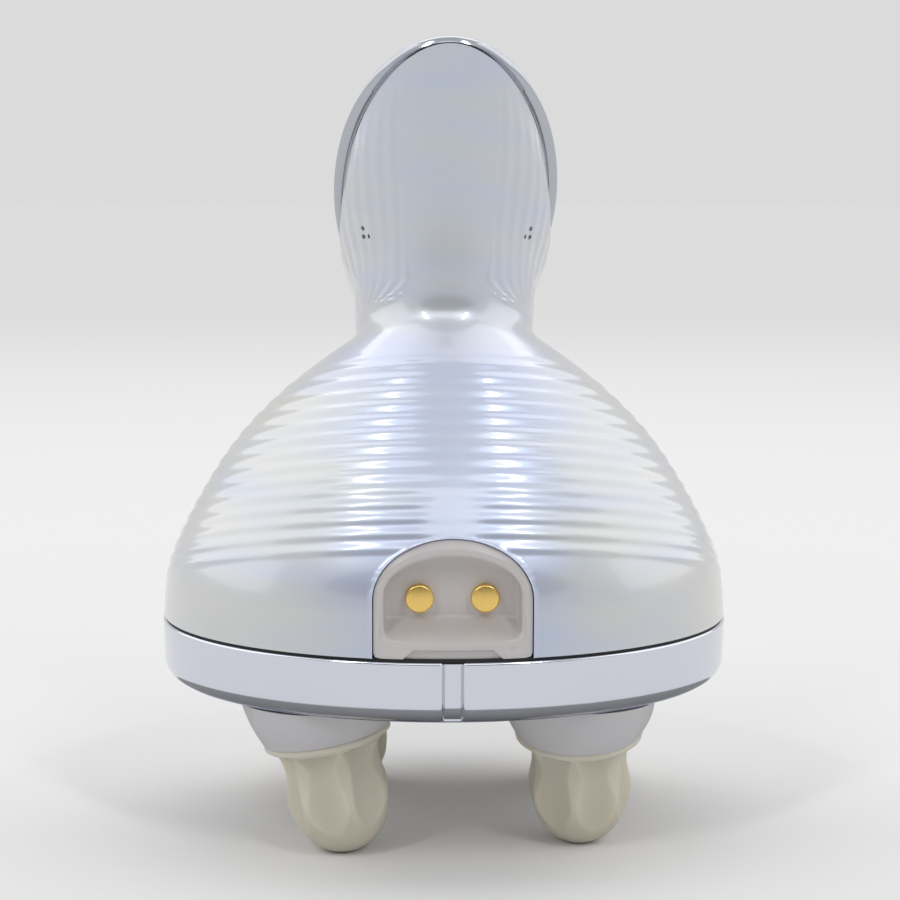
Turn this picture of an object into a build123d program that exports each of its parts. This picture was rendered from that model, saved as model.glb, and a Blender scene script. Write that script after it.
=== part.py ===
# Electric scalp massager: a ribbed bell with a leaning oval handle, on four spinning silicone heads.
# Millimetres, +Z up. The floor under the heads is z = 0, the charging side faces -Y,
# and the origin lies under the middle of the base.
import math
import os

from build123d import *

os.makedirs("parts", exist_ok=True)

# Base
base_width = 112.6
base_depth = 94.4
band_bottom = 30.3
band_height = 11.6
band_wall = 3.0
band_taper = 0.5
band_rounding = 2.4
gasket_thickness = 0.6
gasket_recess = 0.5
channel_width = 3.7
channel_depth = 0.6
channel_length = 8.6

# Shell and handle
shell_wall = 2.4
face_height = 124.3
face_width = 44.0
face_length = 76.0
face_tilt = 50.0
vent_diameter = 0.9
vent_pitch = 1.6
vent_offset = 16.9
vent_height = 117.2

# Oval face and its button, measured along the face's own normal from the shell's edge
rim_height = 2.2
rim_width = 2.1
rim_ledge = 1.7
rim_ledge_height = 0.8
rim_side_overhang = 1.5
rim_end_overhang = 0.1
rim_rounding = 0.8
button_diameter = 16.0
button_proud = 0.7
button_travel = 0.8
button_offset = 6.0
button_flange = 1.0
button_flange_height = 0.8
button_dish = 0.5
button_stem = 4.0
light_ring_width = 1.6
light_ring_flange = 1.2
switch_size = 6.2
switch_height = 3.1
plunger_diameter = 3.4
plunger_depth = 1.4
button_board_width = 24.0
button_board_length = 28.0
board_thickness = 1.2
board_post_diameter = 4.0
board_post_inset = 2.8

# Charging bay
bay_width = 29.2
bay_height = 21.6
bay_arch = 11.0
bay_frame = 2.0
bay_sill = 3.6
bay_top_frame = 3.6
bay_inner_arch = 9.0
bay_back_gap = 6.6
bay_back_wall = 2.3
bay_flange = 1.6
bay_notch_width = 17.2
bay_notch_height = 2.0
bay_notch_slope = 0.75
bay_notch_depth = 0.5
contact_diameter = 5.2
contact_spacing = 12.0
contact_height = 52.7
contact_proud = 1.8
contact_chamfer = 0.45
contact_shank = 3.0
contact_board_width = 24.0
contact_board_height = 12.0

# Massage heads
head_tilt = 11.0
head_pivot_height = 32.0
rotor_top_radius = 14.8
rotor_gap = 0.7
rotor_middle_radius = 14.1
flange_height = 23.2
flange_radius = 12.3
flange_thickness = 1.2
lip_slope = 0.35
waist_radius = 9.3
waist_drop = 5.9
bulge_radius = 10.3
bulge_drop = 12.2
tip_radius = 9.0
tip_start_angle = 22.0
tip_flat = 0.3
flute_count = 7
flute_reach = 8.3
flute_radius = 7.0
flute_start = 2.2
spindle_diameter = 5.0
spindle_socket = 5.0

# Gear train
head_teeth = 24
sun_teeth = 44
train_module = 1.0
sun_upper_teeth = 32
idler_lower_teeth = 20
idler_upper_teeth = 40
pinion_teeth = 12
motor_module = 0.6
pressure_angle = 20.0
addendum = 0.8
dedendum = 1.05
backlash = 0.12
gear_width = 5.0
idler_width = 4.0
gear_gap = 1.5
head_bearing = 42.66
axle_diameter = 5.0
idler_axle_diameter = 4.0
hub_wall = 2.4

# Plates, bearings and fasteners
plate_thickness = 2.2
boss_height = 4.6
bush_wall = 1.5
bush_length = 3.6
seal_diameter = 10.0
seal_thickness = 2.8
boss_wall = 1.5
gear_plate_thickness = 2.4
gear_plate_inset_x = 9.3
gear_plate_inset_y = 12.2
post_diameter = 5.0
post_inset_x = 18.3
post_inner_reach = 15.2
case_screw_inset_x = 11.8
case_screw_inset_y = 32.2
case_boss_diameter = 6.4
case_boss_height = 13.0
case_rib = 1.6
screw_diameter = 2.2
screw_head_diameter = 4.2
screw_head_height = 1.4
screw_engagement = 7.0

# Motor, battery and boards
motor_diameter = 24.4
motor_length = 28.0
motor_can_wall = 1.2
motor_cap_height = 3.0
motor_cap_inset = 0.6
armature_diameter = 16.0
armature_length = 18.0
motor_shaft_diameter = 2.4
motor_screw_spacing = 16.0
battery_diameter = 14.0
battery_length = 50.0
battery_terminal = 5.0
battery_terminal_height = 1.2
cradle_wall = 1.4
cradle_height = 5.0
cradle_foot_length = 34.0
main_board_width = 40.0
main_board_height = 24.0
main_board_gap = 4.6
guide_width = 3.0
guide_height = 16.0
component_height = 1.6
component_layout = [
    (-12, 8, 7, 7),
    (0, 15, 5, 4),
    (10, 8, 8, 5),
    (12, 17, 4, 4),
    (-11, 18, 6, 3),
    (0, 6, 4, 4),
]
cable_diameter = 1.6
cable_offset = 4.5
cable_rise = 4.0
cable_bend = 2.5

# Clearances
running_fit = 0.03
seal_fit = 0.05
loose_fit = 0.15
end_gap = 0.4

# Derived heights
band_top = band_bottom + band_height
shell_bottom = band_top + gasket_thickness
plate_top = band_bottom + plate_thickness
boss_top = plate_top + boss_height
gear_base = boss_top + gear_gap - end_gap
sun_upper_base = gear_base + gear_width + gear_gap
idler_upper_base = sun_upper_base + gear_width + end_gap * 2
gear_plate_bottom = idler_upper_base + idler_width + gear_gap + end_gap
gear_plate_top = gear_plate_bottom + gear_plate_thickness
rotor_top = band_bottom - rotor_gap
head_distance = train_module * (sun_teeth + head_teeth) / 2
idler_distance = motor_module * (sun_upper_teeth + idler_lower_teeth) / 2

# Derived frames
head_x = head_distance * math.cos(math.radians(head_bearing))
head_y = head_distance * math.sin(math.radians(head_bearing))
face_cos = math.cos(math.radians(face_tilt))
face_sin = math.sin(math.radians(face_tilt))
face_plane = Plane((0, 0, face_height), x_dir=(1, 0, 0), z_dir=(0, face_sin, face_cos))
bay_back = -base_depth / 2 + bay_back_gap

# The four heads: which corner, and the way the tip leans at rest, in degrees from +X
head_corners = {
    "rear_left": (-head_x, -head_y, 0.0),
    "rear_right": (head_x, -head_y, 80.0),
    "front_left": (-head_x, head_y, 0.0),
    "front_right": (head_x, head_y, 0.0),
}

# The shell's form. Each section is an ellipse on a plane that leans with the handle.
# A row gives the rear end's depth and height, the front end's depth and height, and the half width:
# depths as shares of half the base depth, heights as shares of the way from seam to face centre,
# and half widths as shares of half the base width.
shell_form = [
    (-1.000, -0.031, 1.000, -0.373, 1.000),
    (-1.000, 0.067, 1.000, -0.275, 1.000),
    (-0.987, 0.165, 1.000, -0.174, 0.996),
    (-0.930, 0.263, 1.000, -0.065, 0.980),
    (-0.852, 0.361, 0.991, 0.045, 0.920),
    (-0.746, 0.458, 0.953, 0.167, 0.831),
    (-0.627, 0.556, 0.881, 0.297, 0.711),
    (-0.515, 0.641, 0.797, 0.402, 0.567),
    (-0.428, 0.709, 0.725, 0.473, 0.433),
    (-0.379, 0.770, 0.660, 0.518, 0.345),
    (-0.364, 0.843, 0.610, 0.552, 0.318),
    (-0.373, 0.935, 0.574, 0.579, 0.318),
    (-0.400, 1.045, 0.548, 0.602, 0.341),
    (-0.449, 1.191, 0.529, 0.623, 0.368),
]


def shell_solid(inset):
    """Lofts the smooth body, with every section drawn in by the inset."""
    half_depth = base_depth / 2
    rise = face_height - shell_bottom
    sections = []
    for rear_y, rear_z, front_y, front_z, width in shell_form:
        run = (front_y - rear_y) * half_depth
        drop = (rear_z - front_z) * rise
        centre = (0, (rear_y + front_y) * half_depth / 2, shell_bottom + (rear_z + front_z) * rise / 2)
        with BuildSketch(Plane(centre, x_dir=(1, 0, 0), z_dir=(0, drop, run))) as section:
            Ellipse(width * base_width / 2 - inset, math.hypot(run, drop) / 2 - inset)
        sections.append(section.sketch)
    with BuildSketch(face_plane) as section:
        Ellipse(face_width / 2 - rim_side_overhang - inset, face_length / 2 - rim_end_overhang - inset)
    sections.append(section.sketch)
    loft(sections)


def involute(angle):
    """Gives the involute function of an angle in radians."""
    return math.tan(angle) - angle


def tooth_points(teeth, module, phase):
    """Gives the corners of a spur gear outline, with the first tooth centred on the phase angle."""
    pitch_radius = teeth * module / 2
    base_radius = pitch_radius * math.cos(math.radians(pressure_angle))
    root = pitch_radius - dedendum * module
    tip = pitch_radius + addendum * module
    half_tooth = math.pi / (2 * teeth) - backlash / (2 * pitch_radius)

    def half_angle(radius):
        pressure = math.acos(base_radius / radius)
        return half_tooth + involute(math.radians(pressure_angle)) - involute(pressure)

    points = []
    for tooth in range(teeth):
        centre = math.radians(phase) + tooth * 2 * math.pi / teeth
        flank = [(radius, half_angle(max(radius, base_radius))) for radius in (root, pitch_radius, tip)]
        lower = [(radius, centre - angle) for radius, angle in flank]
        upper = [(radius, centre + angle) for radius, angle in reversed(flank)]
        points += [(radius * math.cos(angle), radius * math.sin(angle)) for radius, angle in lower + upper]
    return points


def gear_blank(teeth, module, phase, place, height, width):
    """Extrudes a toothed wheel from the height upwards."""
    with BuildSketch(Plane((place[0], place[1], height))) as outline:
        with BuildLine():
            Polyline(*tooth_points(teeth, module, phase), close=True)
        make_face()
    extrude(outline.sketch, amount=width)


def meshing_phase(driver_teeth, driver_phase, bearing, teeth):
    """Gives the phase that puts a gap of the driven gear on the driver's tooth."""
    carried = (bearing - driver_phase) * driver_teeth / 360
    return bearing + 180 - (0.5 - carried) * 360 / teeth


def disc(place, height, diameter, thickness, mode=Mode.ADD):
    """Extrudes a round disc from the height upwards."""
    with BuildSketch(Plane((place[0], place[1], height))) as outline:
        Circle(diameter / 2)
    extrude(outline.sketch, amount=thickness, mode=mode)


def bore(place, height, diameter, depth):
    """Cuts a round hole from the height upwards."""
    disc(place, height, diameter, depth, mode=Mode.SUBTRACT)


def save(piece, name):
    """Labels a finished piece and writes its file."""
    piece.part.label = name
    export_step(piece.part, f"parts/{name}.step")


# Smooth bodies that the shell and the bay are cut from
with BuildPart() as outer_form:
    shell_solid(0)
    split(bisect_by=Plane.XY.offset(shell_bottom), keep=Keep.TOP)

with BuildPart() as wall_form:
    shell_solid(shell_wall / 2)

with BuildPart() as cavity_form:
    shell_solid(shell_wall)

with BuildPart() as flange_form:
    shell_solid(shell_wall + loose_fit)
    split(bisect_by=Plane.XY.offset(shell_bottom), keep=Keep.TOP)


def rear_plane(depth):
    """Gives the upright plane at a depth, whose X runs along X and whose normal points to -Y."""
    return Plane((0, depth, 0), x_dir=(1, 0, 0), z_dir=(0, -1, 0))


def arch(depth, width, bottom, top, rise):
    """Draws an arch on the upright plane at a depth: straight sides under half an ellipse of that rise."""
    with BuildSketch(rear_plane(depth)) as outline:
        with Locations((0, top - rise)):
            Ellipse(width / 2, rise)
        with Locations((0, bottom)):
            Rectangle(width, top - rise - bottom, align=(Align.CENTER, Align.MIN))
            Rectangle(width, rise, align=(Align.CENTER, Align.MAX), mode=Mode.SUBTRACT)
    return outline.sketch


bay_top = shell_bottom + bay_height
case_screw_x = base_width / 2 - case_screw_inset_x
case_screw_y = base_depth / 2 - case_screw_inset_y
case_bosses = [(x, y) for x in (-case_screw_x, case_screw_x) for y in (-case_screw_y, case_screw_y)]

# Outer shell, with screw bosses that ribs tie to its wall
with BuildPart() as shell_bosses:
    for x, y in case_bosses:
        disc((x, y), shell_bottom + loose_fit, case_boss_diameter, case_boss_height)
        with BuildSketch(Plane((x, y, shell_bottom + loose_fit), x_dir=(x, y, 0), z_dir=(0, 0, 1))):
            Rectangle(base_width / 2, case_rib, align=(Align.MIN, Align.CENTER))
        extrude(amount=case_boss_height)
    add(wall_form.part, mode=Mode.INTERSECT)

with BuildPart() as outer_shell:
    add(outer_form.part)
    add(cavity_form.part, mode=Mode.SUBTRACT)
    add(shell_bosses.part)
    for x, y in case_bosses:
        bore((x, y), shell_bottom, screw_diameter, case_boss_height - case_rib)
    extrude(arch(-base_depth / 4, bay_width, shell_bottom, bay_top, bay_arch), amount=base_depth / 2,
            mode=Mode.SUBTRACT)
    for side in (-1, 1):
        for across, up in ((0, vent_pitch), (0, 0), (-1, 0)):
            with BuildSketch(rear_plane(0)):
                with Locations((side * (vent_offset + across * vent_pitch), vent_height + up)):
                    Circle(vent_diameter / 2)
            extrude(amount=base_depth / 2, mode=Mode.SUBTRACT)
save(outer_shell, "outer_shell")

# Charging bay insert
with BuildPart() as bay_flange_part:
    extrude(arch(bay_back + bay_back_wall, bay_width + 2 * bay_flange, shell_bottom, bay_top + bay_flange,
                 bay_arch + bay_flange), amount=base_depth / 2)
    add(flange_form.part, mode=Mode.INTERSECT)

with BuildPart() as charging_bay:
    extrude(arch(bay_back + bay_back_wall, bay_width - 2 * loose_fit, shell_bottom, bay_top - loose_fit,
                 bay_arch - loose_fit), amount=base_depth / 2)
    add(outer_form.part, mode=Mode.INTERSECT)
    add(bay_flange_part.part)
    extrude(arch(bay_back, bay_width - 2 * bay_frame - 2 * loose_fit, shell_bottom + bay_sill,
                 bay_top - bay_top_frame, bay_inner_arch), amount=base_depth / 2, mode=Mode.SUBTRACT)
    with BuildSketch(rear_plane(-base_depth / 2 + bay_notch_depth)):
        with BuildLine():
            Polyline((-bay_notch_width / 2, shell_bottom), (bay_notch_width / 2, shell_bottom),
                     (bay_notch_width / 2 - bay_notch_slope, shell_bottom + bay_notch_height),
                     (-bay_notch_width / 2 + bay_notch_slope, shell_bottom + bay_notch_height), close=True)
        make_face()
    extrude(amount=base_depth / 2, mode=Mode.SUBTRACT)
    with BuildSketch(rear_plane(0)):
        with Locations((-contact_spacing / 2, contact_height), (contact_spacing / 2, contact_height)):
            Circle(contact_shank / 2)
    extrude(amount=base_depth / 2, mode=Mode.SUBTRACT)
save(charging_bay, "charging_bay")

# Charge contacts and their board
for side, name in ((-1, "charge_contact_left"), (1, "charge_contact_right")):
    with BuildPart() as charge_contact:
        with BuildSketch(rear_plane(bay_back)):
            with Locations((side * contact_spacing / 2, contact_height)):
                Circle(contact_diameter / 2)
        extrude(amount=contact_proud)
        chamfer(charge_contact.edges().group_by(Axis.Y)[0], contact_chamfer)
        with BuildSketch(rear_plane(bay_back + bay_back_wall + board_thickness)):
            with Locations((side * contact_spacing / 2, contact_height)):
                Circle(contact_shank / 2)
        extrude(amount=bay_back_wall + board_thickness)
    save(charge_contact, name)

with BuildPart() as contact_board:
    with BuildSketch(rear_plane(bay_back + bay_back_wall + board_thickness)):
        with Locations((0, contact_height)):
            Rectangle(contact_board_width, contact_board_height)
        with Locations((-contact_spacing / 2, contact_height), (contact_spacing / 2, contact_height)):
            Circle(contact_shank / 2, mode=Mode.SUBTRACT)
    extrude(amount=board_thickness)
save(contact_board, "contact_board")

# Seam gasket
with BuildPart() as seam_gasket:
    with BuildSketch(Plane.XY.offset(band_top)):
        Ellipse(base_width / 2 - gasket_recess, base_depth / 2 - gasket_recess)
        Ellipse(base_width / 2 - band_wall, base_depth / 2 - band_wall, mode=Mode.SUBTRACT)
    extrude(amount=gasket_thickness)
save(seam_gasket, "seam_gasket")

# Chrome base band, with a shallow upright channel at the rear centre
with BuildPart() as base_band:
    with BuildSketch(Plane.XY.offset(band_bottom)):
        Ellipse(base_width / 2 - band_taper, base_depth / 2 - band_taper)
    with BuildSketch(Plane.XY.offset(band_top)):
        Ellipse(base_width / 2, base_depth / 2)
    loft(ruled=True)
    fillet(base_band.edges().group_by(Axis.Z)[0], band_rounding)
    with BuildSketch(Plane.XY.offset(band_bottom)):
        Ellipse(base_width / 2 - band_wall, base_depth / 2 - band_wall)
    extrude(amount=band_height, mode=Mode.SUBTRACT)
    with BuildSketch(rear_plane(-base_depth / 2 + channel_depth)):
        with Locations((0, band_top)):
            Rectangle(channel_width, channel_length, align=(Align.CENTER, Align.MAX))
    extrude(amount=base_depth / 2, mode=Mode.SUBTRACT)
save(base_band, "base_band")

# Base plate with seal pockets, bearing bosses, posts for the gear plate and screw bosses
corner_places = [(x, y) for x, y, lean in head_corners.values()]
post_reach_x = base_width / 2 - post_inset_x
post_reach_y = (base_depth / 2 + post_inner_reach) / 2
posts = [(-post_reach_x, 0), (post_reach_x, 0), (0, -post_reach_y), (0, post_reach_y)]
bush_diameter = spindle_diameter + 2 * bush_wall
spindle_boss_diameter = max(bush_diameter, seal_diameter) + 2 * boss_wall
spindle_bore = spindle_diameter + 2 * running_fit
axle_boss_diameter = axle_diameter + 2 * hub_wall
screw_hole = screw_diameter + 2 * loose_fit

with BuildPart() as base_plate:
    with BuildSketch(Plane.XY.offset(band_bottom)):
        Ellipse(base_width / 2 - band_wall - loose_fit, base_depth / 2 - band_wall - loose_fit)
    extrude(amount=plate_thickness)
    for place in corner_places:
        disc(place, band_bottom, spindle_boss_diameter, plate_thickness + boss_height)
    disc((0, 0), band_bottom, axle_boss_diameter, plate_thickness + boss_height)
    for place in posts:
        disc(place, band_bottom, post_diameter, gear_plate_bottom - band_bottom)
    for place in case_bosses:
        disc(place, band_bottom, case_boss_diameter, shell_bottom - band_bottom)
    for place in corner_places:
        bore(place, band_bottom, seal_diameter, seal_thickness)
        bore(place, band_bottom, bush_diameter, plate_thickness + boss_height)
    bore((0, 0), plate_top, axle_diameter, boss_height)
    for place in posts:
        bore(place, gear_plate_bottom - screw_engagement, screw_diameter, screw_engagement)
    for place in case_bosses:
        bore(place, band_bottom, screw_hole, shell_bottom - band_bottom)
        bore(place, band_bottom, screw_head_diameter + 2 * loose_fit, screw_head_height)
save(base_plate, "base_plate")

# Gear plate, with guides that hold the main board upright
board_rear = -motor_diameter / 2 - main_board_gap
gear_plate_half_x = base_width / 2 - gear_plate_inset_x
gear_plate_half_y = base_depth / 2 - gear_plate_inset_y
pinion_hole = motor_module * (pinion_teeth + 2 * addendum) + 2 * end_gap

with BuildPart() as gear_plate:
    with BuildSketch(Plane.XY.offset(gear_plate_bottom)):
        Ellipse(gear_plate_half_x, gear_plate_half_y)
    extrude(amount=gear_plate_thickness)
    for side in (-1, 1):
        with BuildSketch(Plane.XY.offset(gear_plate_top)):
            with Locations((side * main_board_width / 2, board_rear + board_thickness / 2)):
                Rectangle(guide_width, board_thickness + 2 * guide_width)
        extrude(amount=guide_height)
    with BuildSketch(Plane.XY.offset(gear_plate_top)):
        with Locations((0, board_rear + board_thickness / 2)):
            Rectangle(main_board_width + 2 * loose_fit, board_thickness + 2 * loose_fit)
    extrude(amount=guide_height, mode=Mode.SUBTRACT)
    for place in corner_places:
        bore(place, gear_plate_bottom, bush_diameter, gear_plate_thickness)
    for place in posts:
        bore(place, gear_plate_bottom, screw_hole, gear_plate_thickness)
    bore((0, 0), gear_plate_bottom, pinion_hole, gear_plate_thickness)
    bore((0, idler_distance), gear_plate_bottom, idler_axle_diameter, gear_plate_thickness)
    for side in (-1, 1):
        bore((side * motor_screw_spacing / 2, 0), gear_plate_bottom, screw_hole, gear_plate_thickness)
save(gear_plate, "gear_plate")

# Spindle bearings and seals, four of each
with BuildPart() as lower_bushes:
    for place in corner_places:
        disc(place, boss_top - bush_length, bush_diameter, bush_length)
        bore(place, boss_top - bush_length, spindle_bore, bush_length)
save(lower_bushes, "lower_bushes")

with BuildPart() as upper_bushes:
    for place in corner_places:
        disc(place, gear_plate_bottom, bush_diameter, gear_plate_thickness)
        disc(place, gear_plate_top, bush_diameter + bush_wall, bush_wall / 2)
        bore(place, gear_plate_bottom, spindle_bore, gear_plate_thickness + bush_wall / 2)
save(upper_bushes, "upper_bushes")

with BuildPart() as shaft_seals:
    for place in corner_places:
        disc(place, band_bottom, seal_diameter, seal_thickness)
        bore(place, band_bottom, spindle_diameter + 2 * seal_fit, seal_thickness)
save(shaft_seals, "shaft_seals")

# The four heads: spindle, gear, rotor dome and silicone head
spindle_top = gear_plate_top + bush_wall
spindle_bottom = rotor_top - spindle_socket
head_cos = math.cos(math.radians(head_tilt))
head_sin = math.sin(math.radians(head_tilt))
tip_drop = (flange_height + tip_flat - tip_radius) / head_cos


def leaning_plane(place, lean, tilt, height):
    """Gives the plane across the head's axis where that axis passes a height, leaned by the tilt."""
    offset = (head_pivot_height - height) * head_sin / head_cos
    way = Vector(math.cos(math.radians(lean)), math.sin(math.radians(lean)), 0)
    normal = (-way.X * math.sin(math.radians(tilt)), -way.Y * math.sin(math.radians(tilt)),
              math.cos(math.radians(tilt)))
    centre = (place[0] + way.X * offset, place[1] + way.Y * offset, height)
    across = (way.X * math.cos(math.radians(tilt)), way.Y * math.cos(math.radians(tilt)),
              math.sin(math.radians(tilt)))
    return Plane(centre, x_dir=across, z_dir=normal)


def head_profile(plane):
    """Draws half the silicone head's section, from the flange's top at zero down the axis along Y."""
    start = math.radians(tip_start_angle)
    arc_start = (tip_radius * math.cos(start), -tip_drop - tip_radius * math.sin(start))
    arc_middle = (tip_radius * math.cos((start + math.pi / 2) / 2),
                  -tip_drop - tip_radius * math.sin((start + math.pi / 2) / 2))
    tip = (0, -tip_drop - tip_radius)
    lip = (flange_radius, -flange_thickness)
    with BuildSketch(plane) as outline:
        with BuildLine():
            Polyline((0, 0), (flange_radius, 0), lip)
            Spline(lip, (waist_radius, -waist_drop), (bulge_radius, -bulge_drop), arc_start,
                   tangents=[(-1, -lip_slope), (-math.sin(start), -math.cos(start))])
            ThreePointArc(arc_start, arc_middle, tip)
            Line(tip, (0, 0))
        make_face()
    return outline.sketch


for corner, (x, y, lean) in head_corners.items():
    bearing = math.degrees(math.atan2(y, x))
    phase = meshing_phase(sun_teeth, 0, bearing, head_teeth)
    flange_plane = leaning_plane((x, y), lean, head_tilt, flange_height)
    middle_plane = leaning_plane((x, y), lean, head_tilt / 2, (flange_height + rotor_top) / 2)

    with BuildPart() as spindle:
        disc((x, y), spindle_bottom, spindle_diameter, spindle_top - spindle_bottom)
        chamfer(spindle.edges().group_by(Axis.Z)[-1], end_gap)
    save(spindle, f"spindle_{corner}")

    with BuildPart() as head_gear:
        gear_blank(head_teeth, train_module, phase, (x, y), gear_base, gear_width)
        disc((x, y), gear_base + gear_width, spindle_diameter + 2 * hub_wall, gear_gap)
        bore((x, y), gear_base, spindle_diameter, gear_width + gear_gap)
    save(head_gear, f"head_gear_{corner}")

    with BuildPart() as rotor_dome:
        with BuildSketch(flange_plane):
            Circle(flange_radius)
        with BuildSketch(middle_plane):
            Circle(rotor_middle_radius)
        with BuildSketch(Plane((x, y, rotor_top))):
            Circle(rotor_top_radius)
        loft()
        bore((x, y), spindle_bottom, spindle_diameter, spindle_socket)
    save(rotor_dome, f"rotor_dome_{corner}")

    with BuildPart() as massage_head:
        half_plane = Plane(flange_plane.origin, x_dir=flange_plane.x_dir, z_dir=flange_plane.y_dir * -1)
        revolve(head_profile(half_plane), axis=Axis(flange_plane.origin, flange_plane.z_dir))
        with BuildSketch(flange_plane.offset(-flute_start)):
            with PolarLocations(flute_reach + flute_radius, flute_count):
                Circle(flute_radius)
        extrude(amount=-tip_drop - tip_radius, mode=Mode.SUBTRACT)
        split(bisect_by=Plane.XY, keep=Keep.TOP)
    save(massage_head, f"massage_head_{corner}")

# Sun gear on its axle
with BuildPart() as sun_gear:
    gear_blank(sun_teeth, train_module, 0, (0, 0), gear_base, gear_width)
    disc((0, 0), gear_base + gear_width, axle_boss_diameter, gear_gap)
    gear_blank(sun_upper_teeth, motor_module, 0, (0, 0), sun_upper_base, gear_width)
    bore((0, 0), gear_base, axle_diameter + 2 * running_fit, sun_upper_base + gear_width - gear_base)
save(sun_gear, "sun_gear")

with BuildPart() as sun_axle:
    disc((0, 0), plate_top, axle_diameter, sun_upper_base + gear_width - plate_top)
save(sun_axle, "sun_axle")

# Idler: its small wheel meshes with the sun's upper teeth, its large wheel with the motor pinion
idler_place = (0, idler_distance)
idler_axle_bottom = sun_upper_base - end_gap
idler_phase = meshing_phase(sun_upper_teeth, 0, 90, idler_lower_teeth)

with BuildPart() as idler_gear:
    gear_blank(idler_lower_teeth, motor_module, idler_phase, idler_place, sun_upper_base, gear_width)
    disc(idler_place, sun_upper_base + gear_width, idler_axle_diameter + 2 * hub_wall, end_gap * 2)
    gear_blank(idler_upper_teeth, motor_module, idler_phase, idler_place, idler_upper_base, idler_width)
    bore(idler_place, sun_upper_base, idler_axle_diameter + 2 * running_fit,
         idler_upper_base + idler_width - sun_upper_base)
save(idler_gear, "idler_gear")

with BuildPart() as idler_axle:
    disc(idler_place, idler_axle_bottom, idler_axle_diameter, gear_plate_top - idler_axle_bottom)
save(idler_axle, "idler_axle")

# Motor
pinion_phase = meshing_phase(idler_upper_teeth, idler_phase, -90, pinion_teeth)
motor_top = gear_plate_top + motor_length
pinion_bottom = idler_upper_base - end_gap / 2
shaft_top = motor_top + motor_cap_height - motor_can_wall
shaft_hole = motor_shaft_diameter + 2 * running_fit
armature_bottom = gear_plate_top + (motor_length - armature_length) / 2

with BuildPart() as motor_pinion:
    gear_blank(pinion_teeth, motor_module, pinion_phase, (0, 0), pinion_bottom, idler_width + end_gap)
    bore((0, 0), pinion_bottom, motor_shaft_diameter, idler_width + end_gap)
save(motor_pinion, "motor_pinion")

with BuildPart() as motor_shaft:
    disc((0, 0), pinion_bottom, motor_shaft_diameter, shaft_top - pinion_bottom)
save(motor_shaft, "motor_shaft")

with BuildPart() as motor_armature:
    disc((0, 0), armature_bottom, armature_diameter, armature_length)
    bore((0, 0), armature_bottom, motor_shaft_diameter, armature_length)
save(motor_armature, "motor_armature")

with BuildPart() as motor_can:
    disc((0, 0), gear_plate_top, motor_diameter, motor_length)
    fillet(motor_can.edges().group_by(Axis.Z)[0], motor_can_wall)
    bore((0, 0), gear_plate_top + motor_can_wall, motor_diameter - 2 * motor_can_wall, motor_length)
    bore((0, 0), gear_plate_top, shaft_hole, motor_can_wall)
    for side in (-1, 1):
        bore((side * motor_screw_spacing / 2, 0), gear_plate_top, screw_diameter, motor_can_wall)
save(motor_can, "motor_can")

with BuildPart() as motor_end_cap:
    disc((0, 0), motor_top, motor_diameter - 2 * motor_cap_inset, motor_cap_height)
    fillet(motor_end_cap.edges().group_by(Axis.Z)[-1], motor_cap_inset)
    bore((0, 0), motor_top, shaft_hole, shaft_top - motor_top)
save(motor_end_cap, "motor_end_cap")


def pan_screw(place, seat, length):
    """Makes a pan-head screw that stands on a seat height and points down, or up for a negative length."""
    head = screw_head_height if length > 0 else -screw_head_height
    disc(place, seat, screw_head_diameter, head)
    disc(place, seat, screw_diameter, -length)


# Fasteners, one node for each group
with BuildPart() as gear_plate_screws:
    for place in posts:
        pan_screw(place, gear_plate_top, gear_plate_thickness + screw_engagement)
save(gear_plate_screws, "gear_plate_screws")

with BuildPart() as case_screws:
    for place in case_bosses:
        pan_screw(place, band_bottom + screw_head_height,
                  -(shell_bottom - band_bottom - screw_head_height + screw_engagement))
save(case_screws, "case_screws")

with BuildPart() as motor_screws:
    for side in (-1, 1):
        pan_screw((side * motor_screw_spacing / 2, 0), gear_plate_bottom,
                  -(gear_plate_thickness + motor_can_wall))
save(motor_screws, "motor_screws")

# Battery cell lying across the front of the motor, in a cradle that stands between the front spindles
battery_y = motor_diameter / 2 + battery_diameter / 2 + cradle_wall
cradle_bottom = spindle_top + end_gap
battery_z = cradle_bottom + cradle_wall + battery_diameter / 2
cell_plane = Plane((-battery_length / 2, battery_y, battery_z), x_dir=(0, 1, 0), z_dir=(1, 0, 0))

with BuildPart() as battery_cell:
    with BuildSketch(cell_plane):
        Circle(battery_diameter / 2)
    extrude(amount=battery_length)
    fillet(battery_cell.edges(), end_gap)
    with BuildSketch(cell_plane.offset(battery_length)):
        Circle(battery_terminal / 2)
    extrude(amount=battery_terminal_height)
save(battery_cell, "battery_cell")

with BuildPart() as battery_cradle:
    with BuildSketch(Plane.XY.offset(gear_plate_top)):
        with Locations((0, battery_y)):
            Rectangle(cradle_foot_length, battery_diameter)
    extrude(amount=cradle_bottom - gear_plate_top)
    with BuildSketch(Plane.XY.offset(cradle_bottom)):
        with Locations((0, battery_y)):
            Rectangle(battery_length + 2 * battery_terminal_height + 2 * cradle_wall, battery_diameter)
    extrude(amount=cradle_height)
    with BuildSketch(cell_plane.offset(-loose_fit)):
        Circle(battery_diameter / 2 + loose_fit)
    extrude(amount=battery_length + battery_terminal_height + 2 * loose_fit, mode=Mode.SUBTRACT)
save(battery_cradle, "battery_cradle")

# Main board, upright behind the motor, and its components, each laid out across, up, width and height
with BuildPart() as main_board:
    with BuildSketch(Plane.XY.offset(gear_plate_top)):
        with Locations((0, board_rear + board_thickness / 2)):
            Rectangle(main_board_width, board_thickness)
    extrude(amount=main_board_height)
save(main_board, "main_board")

with BuildPart() as board_components:
    with BuildSketch(rear_plane(board_rear)):
        for x, z, width, height in component_layout:
            with Locations((x, gear_plate_top + z)):
                Rectangle(width, height)
    extrude(amount=component_height)
save(board_components, "board_components")

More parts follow.
